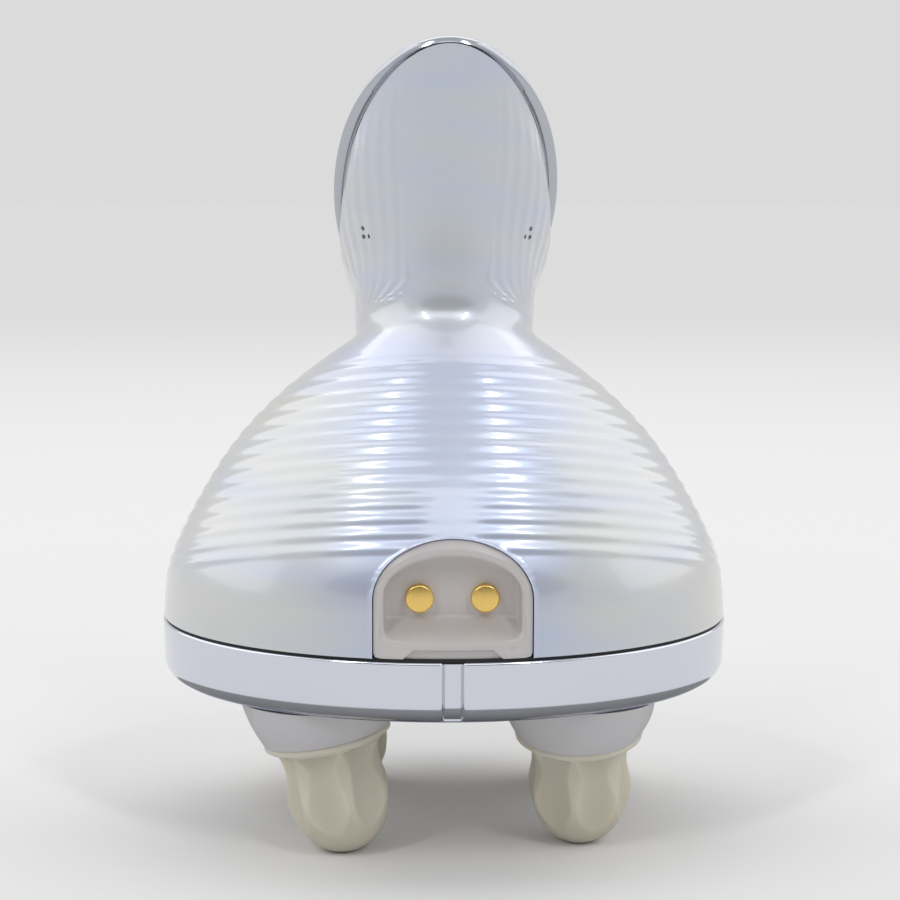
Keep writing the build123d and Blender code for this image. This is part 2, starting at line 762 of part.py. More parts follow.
# Chrome rim and panel of the oval face
with BuildPart() as face_rim:
    with BuildSketch(face_plane):
        Ellipse(face_width / 2, face_length / 2)
    extrude(amount=rim_height)
    fillet(face_rim.faces().sort_by(Axis(face_plane.origin, face_plane.z_dir))[-1].edges(), rim_rounding)
    with BuildSketch(face_plane.offset(rim_ledge_height)):
        Ellipse(face_width / 2 - rim_width, face_length / 2 - rim_width)
    extrude(amount=rim_height, mode=Mode.SUBTRACT)
    with BuildSketch(face_plane):
        Ellipse(face_width / 2 - rim_width - rim_ledge, face_length / 2 - rim_width - rim_ledge)
    extrude(amount=rim_height, mode=Mode.SUBTRACT)
save(face_rim, "face_rim")

# The face's pieces are stacked along its normal, and heights below are measured from the shell's edge
button_place = (0, button_offset)
cap_hole = button_diameter + 2 * loose_fit
light_diameter = cap_hole + 2 * light_ring_width
ring_bottom = rim_ledge_height - light_ring_flange
button_bottom = ring_bottom - loose_fit - button_flange_height
stem_bottom = button_bottom - loose_fit
switch_top = stem_bottom - button_travel - loose_fit
button_board_top = switch_top - switch_height
board_corner_x = button_board_width / 2 - board_post_inset
board_corner_y = button_board_length / 2 - board_post_inset


def face_disc(place, height, diameter, thickness, mode=Mode.ADD):
    """Extrudes a round disc on the oval face, from a height along its normal."""
    with BuildSketch(face_plane.offset(height)) as outline:
        with Locations(place):
            Circle(diameter / 2)
    extrude(outline.sketch, amount=thickness, mode=mode)


def face_bore(place, height, diameter, depth):
    """Cuts a round hole in the oval face, from a height along its normal."""
    face_disc(place, height, diameter, depth, mode=Mode.SUBTRACT)


with BuildPart() as face_panel:
    with BuildSketch(face_plane.offset(rim_ledge_height)):
        Ellipse(face_width / 2 - rim_width - loose_fit, face_length / 2 - rim_width - loose_fit)
    extrude(amount=rim_height - rim_ledge_height)
    with BuildSketch(face_plane.offset(button_board_top)):
        with Locations(button_place):
            with GridLocations(2 * board_corner_x, 2 * board_corner_y, 2, 2):
                Circle(board_post_diameter / 2)
    extrude(amount=rim_ledge_height - button_board_top)
    face_bore(button_place, rim_ledge_height, light_diameter, rim_height)
save(face_panel, "face_panel")

with BuildPart() as light_ring:
    face_disc(button_place, rim_ledge_height, light_diameter - 2 * loose_fit, rim_height - rim_ledge_height)
    face_disc(button_place, ring_bottom, light_diameter + 2 * light_ring_flange, light_ring_flange)
    face_bore(button_place, ring_bottom, cap_hole, rim_height - ring_bottom)
save(light_ring, "light_ring")

with BuildPart() as power_button:
    face_disc(button_place, button_bottom, button_diameter + 2 * button_flange, button_flange_height)
    face_disc(button_place, button_bottom, button_diameter, rim_height + button_proud - button_bottom)
    fillet(power_button.faces().sort_by(Axis(face_plane.origin, face_plane.z_dir))[-1].edges(), button_dish)
    face_disc(button_place, stem_bottom, button_stem, button_bottom - stem_bottom)
save(power_button, "power_button")

with BuildPart() as switch_plunger:
    face_disc(button_place, switch_top - plunger_depth + button_travel, plunger_diameter,
              stem_bottom - switch_top + plunger_depth - button_travel)
save(switch_plunger, "switch_plunger")

with BuildPart() as tact_switch:
    with BuildSketch(face_plane.offset(button_board_top)):
        with Locations(button_place):
            Rectangle(switch_size, switch_size)
    extrude(amount=switch_height)
    face_bore(button_place, switch_top - plunger_depth - loose_fit, plunger_diameter + 2 * loose_fit,
              plunger_depth + 2 * loose_fit)
save(tact_switch, "tact_switch")

with BuildPart() as button_board:
    with BuildSketch(face_plane.offset(button_board_top - board_thickness)):
        with Locations(button_place):
            RectangleRounded(button_board_width, button_board_length, board_post_inset)
    extrude(amount=board_thickness)
save(button_board, "button_board")

# Cables, each on a route of straight runs and arcs
board_middle = board_rear + board_thickness / 2
charge_lane = bay_back + bay_back_wall + cable_diameter / 2 + loose_fit
board_underside = face_plane.offset(button_board_top - board_thickness)
cable_end = board_underside.from_local_coords((cable_offset, button_offset, 0))
cable_approach = board_underside.from_local_coords((cable_offset, button_offset, -cable_rise))
cable_routes = {
    "button_cable": [
        Vector(cable_offset, board_middle, gear_plate_top + main_board_height),
        Vector(cable_offset, board_middle, gear_plate_top + main_board_height + cable_rise),
        cable_approach,
        cable_end,
    ],
    "charge_cable": [
        Vector(cable_offset, charge_lane, contact_height + contact_board_height / 2),
        Vector(cable_offset, charge_lane, gear_plate_top + cable_rise),
        Vector(cable_offset, board_rear, gear_plate_top + cable_rise),
    ],
}

for name, route in cable_routes.items():
    with BuildPart() as cable:
        with BuildLine() as path:
            FilletPolyline(*route, radius=cable_bend)
        with BuildSketch(Plane(route[0], z_dir=route[1] - route[0])):
            Circle(cable_diameter / 2)
        sweep()
    save(cable, name)
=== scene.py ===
"""Electric scalp massager: the visible pieces, built around the packed frame, in metres."""
import bisect
import math

import bmesh
import bpy
from mathutils import Matrix, Vector


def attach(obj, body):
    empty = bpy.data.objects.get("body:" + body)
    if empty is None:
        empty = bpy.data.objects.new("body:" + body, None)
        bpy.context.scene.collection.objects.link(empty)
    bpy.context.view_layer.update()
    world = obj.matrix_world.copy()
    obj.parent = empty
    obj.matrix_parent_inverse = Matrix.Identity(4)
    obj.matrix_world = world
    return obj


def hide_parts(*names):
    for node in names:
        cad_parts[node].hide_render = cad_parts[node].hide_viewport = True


bl_info = {
    "name": "Electric scalp massager",
    "version": (1, 0, 0),
    "blender": (4, 5, 0),
    "location": "View3D > Sidebar > Massager",
    "description": "Builds the visible pieces of an electric scalp massager",
    "category": "Object",
}

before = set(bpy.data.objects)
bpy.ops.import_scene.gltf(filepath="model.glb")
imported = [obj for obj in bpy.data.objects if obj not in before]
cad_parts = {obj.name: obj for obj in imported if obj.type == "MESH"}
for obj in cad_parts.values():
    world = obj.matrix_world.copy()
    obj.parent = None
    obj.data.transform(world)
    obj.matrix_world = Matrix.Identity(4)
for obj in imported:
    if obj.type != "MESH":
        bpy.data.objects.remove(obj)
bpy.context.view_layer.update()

MM = 0.001
FULL_TURN = 2 * math.pi

# Sizes that the solids have too
BASE_HALF_WIDTH = 56.3 * MM
BASE_HALF_DEPTH = 47.2 * MM
SHELL_BOTTOM = 42.5 * MM
SHELL_WALL = 2.4 * MM
BAND_BOTTOM = 30.3 * MM
BAND_TOP = 41.9 * MM
BAND_WALL = 3.0 * MM
FACE_HEIGHT = 124.3 * MM
FACE_HALF_WIDTH = 22.0 * MM
FACE_HALF_LENGTH = 38.0 * MM
FACE_TILT = math.radians(50)
FACE_FRAME = Matrix.Translation((0, 0, FACE_HEIGHT)) @ Matrix.Rotation(-FACE_TILT, 4, "X")
FACE_INVERSE = FACE_FRAME.inverted()
RIM_WIDTH = 2.1 * MM
RIM_HEIGHT = 2.2 * MM
LEDGE_WIDTH = 1.7 * MM
LEDGE_HEIGHT = 0.8 * MM
BUTTON_OFFSET = 6.0 * MM
BUTTON_RADIUS = 8.0 * MM
BUTTON_DISH = 0.5 * MM
BAY_HALF_WIDTH = 14.6 * MM
BAY_TOP = 64.1 * MM
BAY_ARCH = 11.0 * MM
BAY_FRAME = 2.0 * MM
BAY_BACK = -40.6 * MM
BAY_BACK_WALL = 2.3 * MM
CONTACT_HEIGHT = 52.7 * MM
CONTACT_SPACING = 12.0 * MM
CONTACT_RADIUS = 2.6 * MM
CONTACT_PROUD = 1.8 * MM
HEAD_PIVOT_HEIGHT = 32.0 * MM
ROTOR_TOP_RADIUS = 14.8 * MM
ROTOR_MIDDLE_RADIUS = 14.1 * MM
TIP_RADIUS = 9.0 * MM
TIP_FLAT = 0.3 * MM
TIP_START = math.radians(22)
# Each head's place, and the direction that it leans to
HEADS = {
    "rear_left": (-25.003 * MM, -23.041 * MM, 0.0),
    "rear_right": (25.003 * MM, -23.041 * MM, math.radians(80)),
    "front_left": (-25.003 * MM, 23.041 * MM, 0.0),
    "front_right": (25.003 * MM, 23.041 * MM, 0.0),
}

# Sizes of the scene alone, near those of the solids
RIM_SIDE_OVERHANG = 2.0 * MM
RIM_END_OVERHANG = 0.4 * MM
ROTOR_TOP = 30.0 * MM
HANDLE_TAPER = 0.1

# The shell's form. Each row is an ellipse on a leaning plane: the depth and height of its rear end,
# the depth and height of its front end, and its half width. Depths are shares of half the base depth,
# heights are shares of the way from the seam to the face's middle, half widths of half the base width.
SHELL_FORM = [
    (-1.000, -0.031, 1.000, -0.373, 1.000),
    (-1.000, 0.067, 1.000, -0.275, 1.000),
    (-0.987, 0.165, 1.000, -0.174, 0.996),
    (-0.930, 0.263, 1.000, -0.065, 0.980),
    (-0.852, 0.361, 0.991, 0.045, 0.920),
    (-0.746, 0.458, 0.953, 0.167, 0.831),
    (-0.627, 0.556, 0.881, 0.297, 0.711),
    (-0.515, 0.641, 0.797, 0.402, 0.567),
    (-0.400, 0.708, 0.725, 0.473, 0.426),
    (-0.366, 0.742, 0.660, 0.518, 0.345),
    (-0.364, 0.843, 0.610, 0.552, 0.318),
    (-0.373, 0.935, 0.574, 0.579, 0.318),
    (-0.400, 1.045, 0.548, 0.602, 0.341),
    (-0.449, 1.191, 0.529, 0.623, 0.368),
]


def linear(code):
    """Turns an sRGB hex colour into the linear colour that a shader takes."""
    values = [int(code[at:at + 2], 16) / 255 for at in (1, 3, 5)]
    return [value / 12.92 if value <= 0.04045 else ((value + 0.055) / 1.055) ** 2.4
            for value in values] + [1.0]


def length(name, description, size, smallest=0.0):
    """Gives a length setting whose default is in millimetres."""
    return bpy.props.FloatProperty(name=name, description=description, default=size * MM,
                                   min=smallest, precision=5, unit="LENGTH", subtype="DISTANCE")


def colour(name, description, code):
    """Gives a colour setting from an sRGB hex colour."""
    return bpy.props.FloatVectorProperty(name=name, description=description, size=4, min=0, max=1,
                                         default=linear(code), subtype="COLOR")


# Settings

class ShellSettings(bpy.types.PropertyGroup):
    """Sizes and colours of the ridged shell."""
    ridge_pitch: length("Ridge pitch", "Distance from ridge to ridge", 2.86, 0.5 * MM)
    ridge_depth: length("Ridge depth", "Depth of the grooves between the ridges", 0.2)
    ridge_start: length("First ridge", "Height of the lowest ridge's edge above the floor", 48.2)
    ridge_end: length("Last bell ridge", "Height where the bell's ridges fade out", 91.0)
    ridge_slope: bpy.props.FloatProperty(name="Ridge slope", default=0.29,
                                         description="Fall of the bell's ridges from rear to front")
    edge_rounding: length("Bay edge rounding", "Rounding of the shell's edge round the charging bay", 0.3)
    pearl: colour("Pearl", "Main colour of the pearl lacquer", "#D2D2CC")
    # The second colour gives the lacquer's random drift and also its painted lavender sheen toward the
    # middle
    pearl_tone_and_sheen: colour("Pearl shade", "Second colour of the pearl lacquer", "#C3C8DC")
    bay_grey: colour("Bay", "Colour of the charging bay", "#D2CDCB")


class MetalSettings(bpy.types.PropertyGroup):
    """Sizes and colours of the plated pieces."""
    band_rounding: length("Band rounding", "Rounding of the band's lower edge", 3.4)
    band_edge: length("Band edge", "Rounding of the band's upper edge", 0.5)
    channel_width: length("Channel width", "Width of the shallow channel at the rear of the band", 3.7)
    channel_depth: length("Channel depth", "Depth of the channel", 1.1)
    chrome: colour("Chrome", "Colour of the chrome plating", "#D5D8E1")
    # The rim's chrome is the band's, painted a darker grey: painted shade
    rim: colour("Rim", "Colour of the darker chrome of the rim", "#B6B9C0")
    gold: colour("Gold", "Colour of the gold-plated contacts", "#F0CC78")


class HeadSettings(bpy.types.PropertyGroup):
    """Sizes and colours of the four massage heads."""
    tilt: bpy.props.FloatProperty(name="Tilt", description="Tilt of each head's axis", subtype="ANGLE",
                                  default=math.radians(11))
    flange_height: length("Flange height", "Height of the flange's middle above the floor", 23.2)
    flange_radius: length("Flange radius", "Radius of the silicone flange", 12.3)
    flute_count: bpy.props.IntProperty(name="Flutes", description="Number of flutes round each head",
                                       default=7, min=3)
    flute_reach: length("Flute reach", "Distance from the axis to the bottom of a flute", 8.3)
    flute_radius: length("Flute radius", "Radius of a flute's hollow", 7.0)
    silicone: colour("Silicone", "Colour of the translucent silicone", "#DAD5C6")
    plastic: colour("White plastic", "Colour of the base and the rotor domes", "#CFCDCE")


class StageSettings(bpy.types.PropertyGroup):
    """Floor, lamps and camera."""
    floor: colour("Floor", "Colour of the floor", "#F2F2F2")
    lens: bpy.props.FloatProperty(name="Lens", description="Focal length in millimetres", default=84.7)
    key: bpy.props.FloatProperty(name="Overhead lamp", description="Power of the lamp overhead",
                                 default=7.0, unit="POWER")
    side: bpy.props.FloatProperty(name="Side lamps", description="Power of each wide lamp at the sides",
                                  default=3.7, unit="POWER")
    strip: bpy.props.FloatProperty(name="Strip lamps", description="Power of each tall strip at the rear",
                                   default=2.6, unit="POWER")


# Helpers

def natural_curve(knots, values):
    """Gives the smooth curve through values at rising knots, as a function."""
    widths = [after - before for before, after in zip(knots, knots[1:])]
    rises = [(after - before) / width for before, after, width in zip(values, values[1:], widths)]
    shares, bends = [0.0], [0.0]
    for at in range(1, len(knots) - 1):
        pivot = 2 * (widths[at - 1] + widths[at]) - widths[at - 1] * shares[at - 1]
        shares.append(widths[at] / pivot)
        bends.append((6 * (rises[at] - rises[at - 1]) - widths[at - 1] * bends[at - 1]) / pivot)
    bends.append(0.0)
    for at in range(len(knots) - 2, 0, -1):
        bends[at] -= shares[at] * bends[at + 1]

    def curve(place):
        at = min(max(bisect.bisect_right(knots, place) - 1, 0), len(knots) - 2)
        width = widths[at]
        left, right = knots[at + 1] - place, place - knots[at]
        return ((bends[at] * left ** 3 + bends[at + 1] * right ** 3) / (6 * width)
                + (values[at] / width - bends[at] * width / 6) * left
                + (values[at + 1] / width - bends[at + 1] * width / 6) * right)

    return curve


def fade(value, low, high):
    """Rises smoothly from 0 to 1 as the value goes from low to high."""
    share = min(max((value - low) / (high - low), 0.0), 1.0)
    return share * share * (3 - 2 * share)


def put(name, mesh_form, body, material, replaced=(), crease=32):
    """Makes a finished piece from a bmesh, rides it on its body and gives it its slot and finish."""
    mesh_form.normal_update()
    for face in mesh_form.faces:
        face.smooth = True
    for edge in mesh_form.edges:
        edge.smooth = not (len(edge.link_faces) == 2 and edge.calc_face_angle(0) > math.radians(crease))
    mesh = bpy.data.meshes.new(name)
    mesh_form.to_mesh(mesh)
    mesh_form.free()
    mesh.materials.append(material)
    piece = bpy.data.objects.new(name, mesh)
    bpy.context.scene.collection.objects.link(piece)
    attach(piece, body)
    if replaced:
        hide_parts(*replaced)
    return piece


def turned(profile, steps, closed=False):
    """Turns a profile of radius and height about Z into a closed bmesh."""
    form = bmesh.new()
    rings = [form.verts.new((radius, 0, height)) for radius, height in profile]
    pairs = list(zip(rings, rings[1:])) + ([(rings[-1], rings[0])] if closed else [])
    edges = [form.edges.new(pair) for pair in pairs]
    bmesh.ops.spin(form, geom=rings + edges, cent=(0, 0, 0), axis=(0, 0, 1), dvec=(0, 0, 0),
                   angle=FULL_TURN, steps=steps, use_merge=True, use_duplicate=False)
    bmesh.ops.remove_doubles(form, verts=form.verts, dist=1e-6)
    bmesh.ops.recalc_face_normals(form, faces=form.faces)
    return form


def rounded(corners, segments=6):
    """Gives a profile whose corners, each with a radius, are rounded."""
    points = []
    count = len(corners)
    for at, (x, y, radius) in enumerate(corners):
        if not radius:
            points.append((x, y))
            continue
        corner = Vector((x, y))
        before = (Vector(corners[at - 1][:2]) - corner).normalized()
        after = (Vector(corners[(at + 1) % count][:2]) - corner).normalized()
        half = before.angle(after) / 2
        middle = corner + (before + after).normalized() * (radius / math.sin(half))
        start = (corner + before * (radius / math.tan(half)) - middle).normalized()
        end = (corner + after * (radius / math.tan(half)) - middle).normalized()
        for step in range(segments + 1):
            points.append(tuple(middle + start.slerp(end, step / segments) * radius))
    return points


def oval(form, half_width, half_depth):
    """Squeezes a turned form so that a radius of half_width becomes an oval of half_depth."""
    for vert in form.verts:
        radius = math.hypot(vert.co.x, vert.co.y)
        if radius > 0:
            vert.co.y *= (radius - half_width + half_depth) / radius


def cut(piece, cutter_form):
    """Cuts a closed bmesh out of a finished piece."""
    mesh = bpy.data.meshes.new("cutter")
    bmesh.ops.recalc_face_normals(cutter_form, faces=cutter_form.faces)
    cutter_form.to_mesh(mesh)
    cutter_form.free()
    cutter = bpy.data.objects.new("cutter", mesh)
    bpy.context.scene.collection.objects.link(cutter)
    boolean = piece.modifiers.new("cut", "BOOLEAN")
    boolean.object = cutter
    boolean.solver = "MANIFOLD"
    evaluated = piece.evaluated_get(bpy.context.evaluated_depsgraph_get())
    result = bpy.data.meshes.new_from_object(evaluated)
    piece.modifiers.remove(boolean)
    old, piece.data = piece.data, result
    result.name = piece.name
    bpy.data.meshes.remove(old)
    bpy.data.objects.remove(cutter)
    bpy.data.meshes.remove(mesh)


# Shell form

def shell_sections():
    """Gives the shell's ellipses as curves over the height where each plane crosses the middle."""
    rise = FACE_HEIGHT - SHELL_BOTTOM
    rows = [(rear_y * BASE_HALF_DEPTH, SHELL_BOTTOM + rear_z * rise, front_y * BASE_HALF_DEPTH,
             SHELL_BOTTOM + front_z * rise, width * BASE_HALF_WIDTH)
            for rear_y, rear_z, front_y, front_z, width in SHELL_FORM]
    reach = FACE_HALF_LENGTH - RIM_END_OVERHANG
    reach_y, reach_z = reach * math.cos(FACE_TILT), reach * math.sin(FACE_TILT)
    rows.append((-reach_y, FACE_HEIGHT + reach_z, reach_y, FACE_HEIGHT - reach_z,
                 FACE_HALF_WIDTH - RIM_SIDE_OVERHANG))
    heights = [rear_z - rear_y * (front_z - rear_z) / (front_y - rear_y)
               for rear_y, rear_z, front_y, front_z, width in rows]
    return [natural_curve(heights, values) for values in zip(*rows)]


SECTIONS = shell_sections()


def shell_row(height, inset=0.0):
    """Gives the middle, the half width and the half length vector of the ellipse at a height."""
    rear_y, rear_z, front_y, front_z, width = (curve(height) for curve in SECTIONS)
    rear = Vector((0, rear_y, rear_z))
    front = Vector((0, front_y, front_z))
    half = (rear - front) / 2
    return (rear + front) / 2, width - inset, half * (1 - inset / half.length)


def shell_rear(x, z):
    """Gives the depth of the shell's rear surface at a place across and up."""
    low, high = 20 * MM, FACE_HEIGHT
    for _ in range(30):
        height = (low + high) / 2
        middle, width, half = shell_row(height)
        place = middle + half * math.sqrt(max(1 - (x / width) ** 2, 0))
        if place.z < z:
            low = height
        else:
            high = height
    return place.y


def arch_distance(x, z, half_width, top, rise):
    """Gives how far a place lies outside an arch, or a negative distance inside it."""
    up = z - (top - rise)
    if up <= 0:
        return abs(x) - half_width
    level = (x / half_width) ** 2 + (up / rise) ** 2
    return (level - 1) / (2 * math.hypot(x / half_width ** 2, up / rise ** 2) + 1e-9)


# Finishes

def add_node(tree, kind, inputs, **options):
    """Adds a node with its options, and sets or links its inputs."""
    made = tree.nodes.new(kind)
    for option, value in options.items():
        setattr(made, option, value)
    for socket, value in inputs.items():
        if isinstance(value, bpy.types.NodeSocket):
            tree.links.new(value, made.inputs[socket])
        else:
            made.inputs[socket].default_value = value
    return made


def finish(name, inputs):
    """Starts a material: gives it, its node tree, its shader and the object's coordinates."""
    material = bpy.data.materials.new(name)
    material.use_nodes = True
    tree = material.node_tree
    shader = tree.nodes["Principled BSDF"]
    for socket, value in inputs.items():
        shader.inputs[socket].default_value = value
    place = add_node(tree, "ShaderNodeTexCoord", {}).outputs["Object"]
    return material, tree, shader, place


# The colours and the result of a Mix node go by number, because its sockets share their names
MIX_FIRST, MIX_SECOND, MIX_RESULT = 6, 7, 2


def pearl_lacquer(name, light, shade):
    """Moulded ABS under pearl lacquer: a silky white that drifts to lavender, under a clear coat, with a
    painted lavender sheen toward the middle.
    """
    material, tree, shader, place = finish(name, {
        "Metallic": 0.4, "Roughness": 0.36, "Coat Weight": 1.0, "Coat Roughness": 0.09,
        "Coat IOR": 1.65, "Thin Film Thickness": 200.0, "Thin Film IOR": 1.7})
    # The lacquer drifts in flat streaks about 30 mm long. Toward the bell's middle it turns lavender, which
    # is a painted sheen: the lavender that the pearl shows face-on.
    flat = add_node(tree, "ShaderNodeMapping", {"Vector": place, "Scale": (0.4, 0.4, 2.0)})
    drift = add_node(tree, "ShaderNodeTexNoise", {"Vector": flat.outputs["Vector"], "Scale": 1 / (12 * MM),
                                                  "Detail": 1.0})
    across = add_node(tree, "ShaderNodeSeparateXYZ", {"Vector": place})
    offset = add_node(tree, "ShaderNodeMath", {0: across.outputs["X"]}, operation="ABSOLUTE")
    middle = add_node(tree, "ShaderNodeMapRange", {
        "Value": offset.outputs["Value"], "From Min": 6 * MM, "From Max": 30 * MM, "To Min": 0.7,
        "To Max": 0.0}, interpolation_type="SMOOTHSTEP")
    # The painted sheen falls to about a third from 84 to 102 mm up, so the neck is less lavender
    low = add_node(tree, "ShaderNodeMapRange", {
        "Value": across.outputs["Z"], "From Min": 84 * MM, "From Max": 102 * MM, "To Min": 1.0,
        "To Max": 0.35}, interpolation_type="SMOOTHSTEP")
    inner = add_node(tree, "ShaderNodeMath", {0: middle.outputs["Result"], 1: low.outputs["Result"]},
                     operation="MULTIPLY")
    both = add_node(tree, "ShaderNodeMath", {0: drift.outputs["Fac"], 1: inner.outputs["Value"]})
    share = add_node(tree, "ShaderNodeMapRange", {"Value": both.outputs["Value"], "From Min": 0.4,
                                                  "From Max": 1.1})
    tint = add_node(tree, "ShaderNodeMix", {
        "Factor": share.outputs["Result"], MIX_FIRST: light, MIX_SECOND: shade}, data_type="RGBA")
    tree.links.new(tint.outputs[MIX_RESULT], shader.inputs["Base Color"])
    # Mica flakes are a few hundredths of a millimetre, too fine to show, so they are drawn at 0.4 mm
    flakes = add_node(tree, "ShaderNodeTexNoise", {"Vector": place, "Scale": 1 / (0.4 * MM), "Detail": 1.0})
    relief = add_node(tree, "ShaderNodeBump", {"Height": flakes.outputs["Fac"], "Distance": 0.003 * MM})
    tree.links.new(relief.outputs["Normal"], shader.inputs["Normal"])
    return material


def plating(name, tint, roughness, wave_size, wave_depth):
    """Plated or ground metal, bright and slightly hazed: faint waves bend what it reflects."""
    material, tree, shader, place = finish(name, {
        "Base Color": tint, "Metallic": 1.0, "Roughness": roughness})
    haze = add_node(tree, "ShaderNodeTexNoise", {"Vector": place, "Scale": 1 / wave_size, "Detail": 3.0})
    rough = add_node(tree, "ShaderNodeMapRange", {"Value": haze.outputs["Fac"], "To Min": roughness * 0.8,
                                                  "To Max": roughness * 1.25})
    tree.links.new(rough.outputs["Result"], shader.inputs["Roughness"])
    relief = add_node(tree, "ShaderNodeBump", {"Height": haze.outputs["Fac"], "Distance": wave_depth})
    tree.links.new(relief.outputs["Normal"], shader.inputs["Normal"])
    return material


def moulding(name, light, shade, roughness=0.4, grain=0.5 * MM, grain_depth=0.008 * MM, **inputs):
    """A moulded or machined surface: its colour drifts a little and a fine grain breaks its gloss."""
    material, tree, shader, place = finish(name, {"Roughness": roughness, **inputs})
    drift = add_node(tree, "ShaderNodeTexNoise", {"Vector": place, "Scale": 60.0, "Detail": 3.0})
    tint = add_node(tree, "ShaderNodeMix", {
        "Factor": drift.outputs["Fac"], MIX_FIRST: light, MIX_SECOND: shade}, data_type="RGBA")
    tree.links.new(tint.outputs[MIX_RESULT], shader.inputs["Base Color"])
    texture = add_node(tree, "ShaderNodeTexNoise", {"Vector": place, "Scale": 1 / grain, "Detail": 2.0})
    relief = add_node(tree, "ShaderNodeBump", {"Height": texture.outputs["Fac"], "Distance": grain_depth})
    tree.links.new(relief.outputs["Normal"], shader.inputs["Normal"])
    return material


# Pieces

SHELL_ROWS = 280
SHELL_COLUMNS = 350
WALL_ROWS = 48
WALL_COLUMNS = 96
FORM_START = 26.5 * MM
REAR_CROWDING = 0.35
RIDGE_FADE = 4 * MM
REAR_RIDGE_SHARE = 0.15
NECK_FAN = (100 * MM, 110 * MM)
NECK_ANGLE = math.radians(62)
HANDLE_RIDGE_START = math.radians(30.2)
HANDLE_RIDGE_STEP = math.radians(9.2)
VENTS = [(16.15 * MM, 117.2 * MM), (16.35 * MM, 118.8 * MM), (15.1 * MM, 117.3 * MM)]
VENT_RADIUS = 0.45 * MM
VENT_DEPTH = 1.2 * MM
SLOPE_STEP = 0.2 * MM


def handle_taper(around, height):
    """Gives the share by which the handle's upper end is narrower than an ellipse at an angle."""
    return HANDLE_TAPER * max(math.cos(around), 0) ** 1.6 * fade(height, 105 * MM, FACE_HEIGHT)


def shell_skin(rows, columns, inset):
    """Makes one skin of the shell from a grid, with its columns closer together toward the rear."""
    form = bmesh.new()
    bmesh.ops.create_grid(form, x_segments=columns, y_segments=rows, size=1)
    angle = form.verts.layers.float.new("angle")
    known = {}
    for vert in form.verts:
        around = vert.co.x * math.pi
        around -= REAR_CROWDING * math.sin(around)
        vert[angle] = abs(around)
        step = round((vert.co.y + 1) / 2 * rows)
        height = FORM_START + step / rows * (FACE_HEIGHT - FORM_START)
        if step not in known:
            known[step] = shell_row(height, inset)
        middle, width, half = known[step]
        width *= 1 - handle_taper(around, height)
        vert.co = middle + half * math.cos(around) + Vector((width * math.sin(around), 0, 0))
    bmesh.ops.remove_doubles(form, verts=form.verts, dist=1e-7)
    bmesh.ops.recalc_face_normals(form, faces=form.faces)
    return form


def handle_sink(place, around):
    """Gives the depth of the handle's grooves as a share: they run up it and fan out of each neck side."""
    spread = fade(place.z, *NECK_FAN)
    if spread < 0.1:
        return 0.0
    line = NECK_ANGLE + (around - NECK_ANGLE) / spread
    # The grooves fill a sector of each side, which widens on the way up
    low = math.radians(8 + 17 * fade(place.z, 103 * MM, 113 * MM))
    high = math.radians(80 + 60 * fade(place.z, 106 * MM, 118 * MM))
    shown = fade(line, low, low + math.radians(6)) * (1 - fade(line, high - math.radians(15), high))
    shown *= fade(spread, 0.12, 0.45) * fade(-(FACE_INVERSE @ place).z, 0.5 * MM, 4 * MM)
    return shown * (1 - math.cos(FULL_TURN * (line - HANDLE_RIDGE_START) / HANDLE_RIDGE_STEP)) / 2


def ridge_sink(place, around, settings):
    """Gives how far the surface lies below the ridges' crests at a place."""
    level = place.z + settings.ridge_slope * place.y
    along_bell = (level - settings.ridge_start) / settings.ridge_pitch
    bell = 1 - fade(level, settings.ridge_end - RIDGE_FADE, settings.ridge_end)
    if place.y < 0:
        bell *= REAR_RIDGE_SHARE + (1 - REAR_RIDGE_SHARE) * fade(abs(place.x), 1.5 * MM, 8 * MM)
    sink = handle_sink(place, around)
    if along_bell > 0 and bell > 0:
        sink += bell * (1 - math.cos(FULL_TURN * along_bell)) / 2
    return sink * settings.ridge_depth


def bay_edge_sink(place, rounding):
    """Gives how far the shell's edge round the charging bay is rounded back at a place."""
    if place.y > 0 or place.z > BAY_TOP + rounding:
        return 0.0
    gap = arch_distance(place.x, place.z, BAY_HALF_WIDTH, BAY_TOP, BAY_ARCH)
    reach = min(max(rounding - gap, 0.0), rounding)
    return rounding - math.sqrt(rounding ** 2 - reach ** 2)


def open_loops(form):
    """Gives the open edges of a bmesh, those at the shell's foot apart from those at its face."""
    edges = [edge for edge in form.edges if edge.is_boundary]
    foot = [edge for edge in edges if all(abs(vert.co.z - SHELL_BOTTOM) < 1e-6 for vert in edge.verts)]
    return foot, [edge for edge in edges if edge not in set(foot)]


def trim_foot(form):
    """Cuts a skin off level at the shell's foot."""
    bmesh.ops.bisect_plane(form, geom=form.verts[:] + form.edges[:] + form.faces[:], dist=1e-7,
                           plane_co=(0, 0, SHELL_BOTTOM), plane_no=(0, 0, 1), clear_inner=True)


def arch_prism(form, half_width, top, rise, bottom, near, far, segments=96):
    """Adds a closed arch-shaped bar that runs along Y."""
    made = bmesh.ops.create_circle(form, cap_ends=True, segments=segments, radius=1)
    for vert in made["verts"]:
        x, z = arch_point(vert.co, half_width, top, rise, bottom)
        vert.co = (x, near, z)
    faces = list({face for vert in made["verts"] for face in vert.link_faces})
    raised = bmesh.ops.extrude_face_region(form, geom=faces)["geom"]
    for item in raised:
        if isinstance(item, bmesh.types.BMVert):
            item.co.y = far


def arch_point(co, half_width, top, rise, bottom, square=30):
    """Gives the place on an arch that answers to a point of a unit circle, with square lower corners."""
    spring = top - rise
    if co.y >= 0:
        return half_width * co.x, spring + rise * co.y
    reach = (abs(co.x) ** square + abs(co.y) ** square) ** (-1 / square)
    return half_width * co.x * reach, spring + (spring - bottom) * co.y * reach


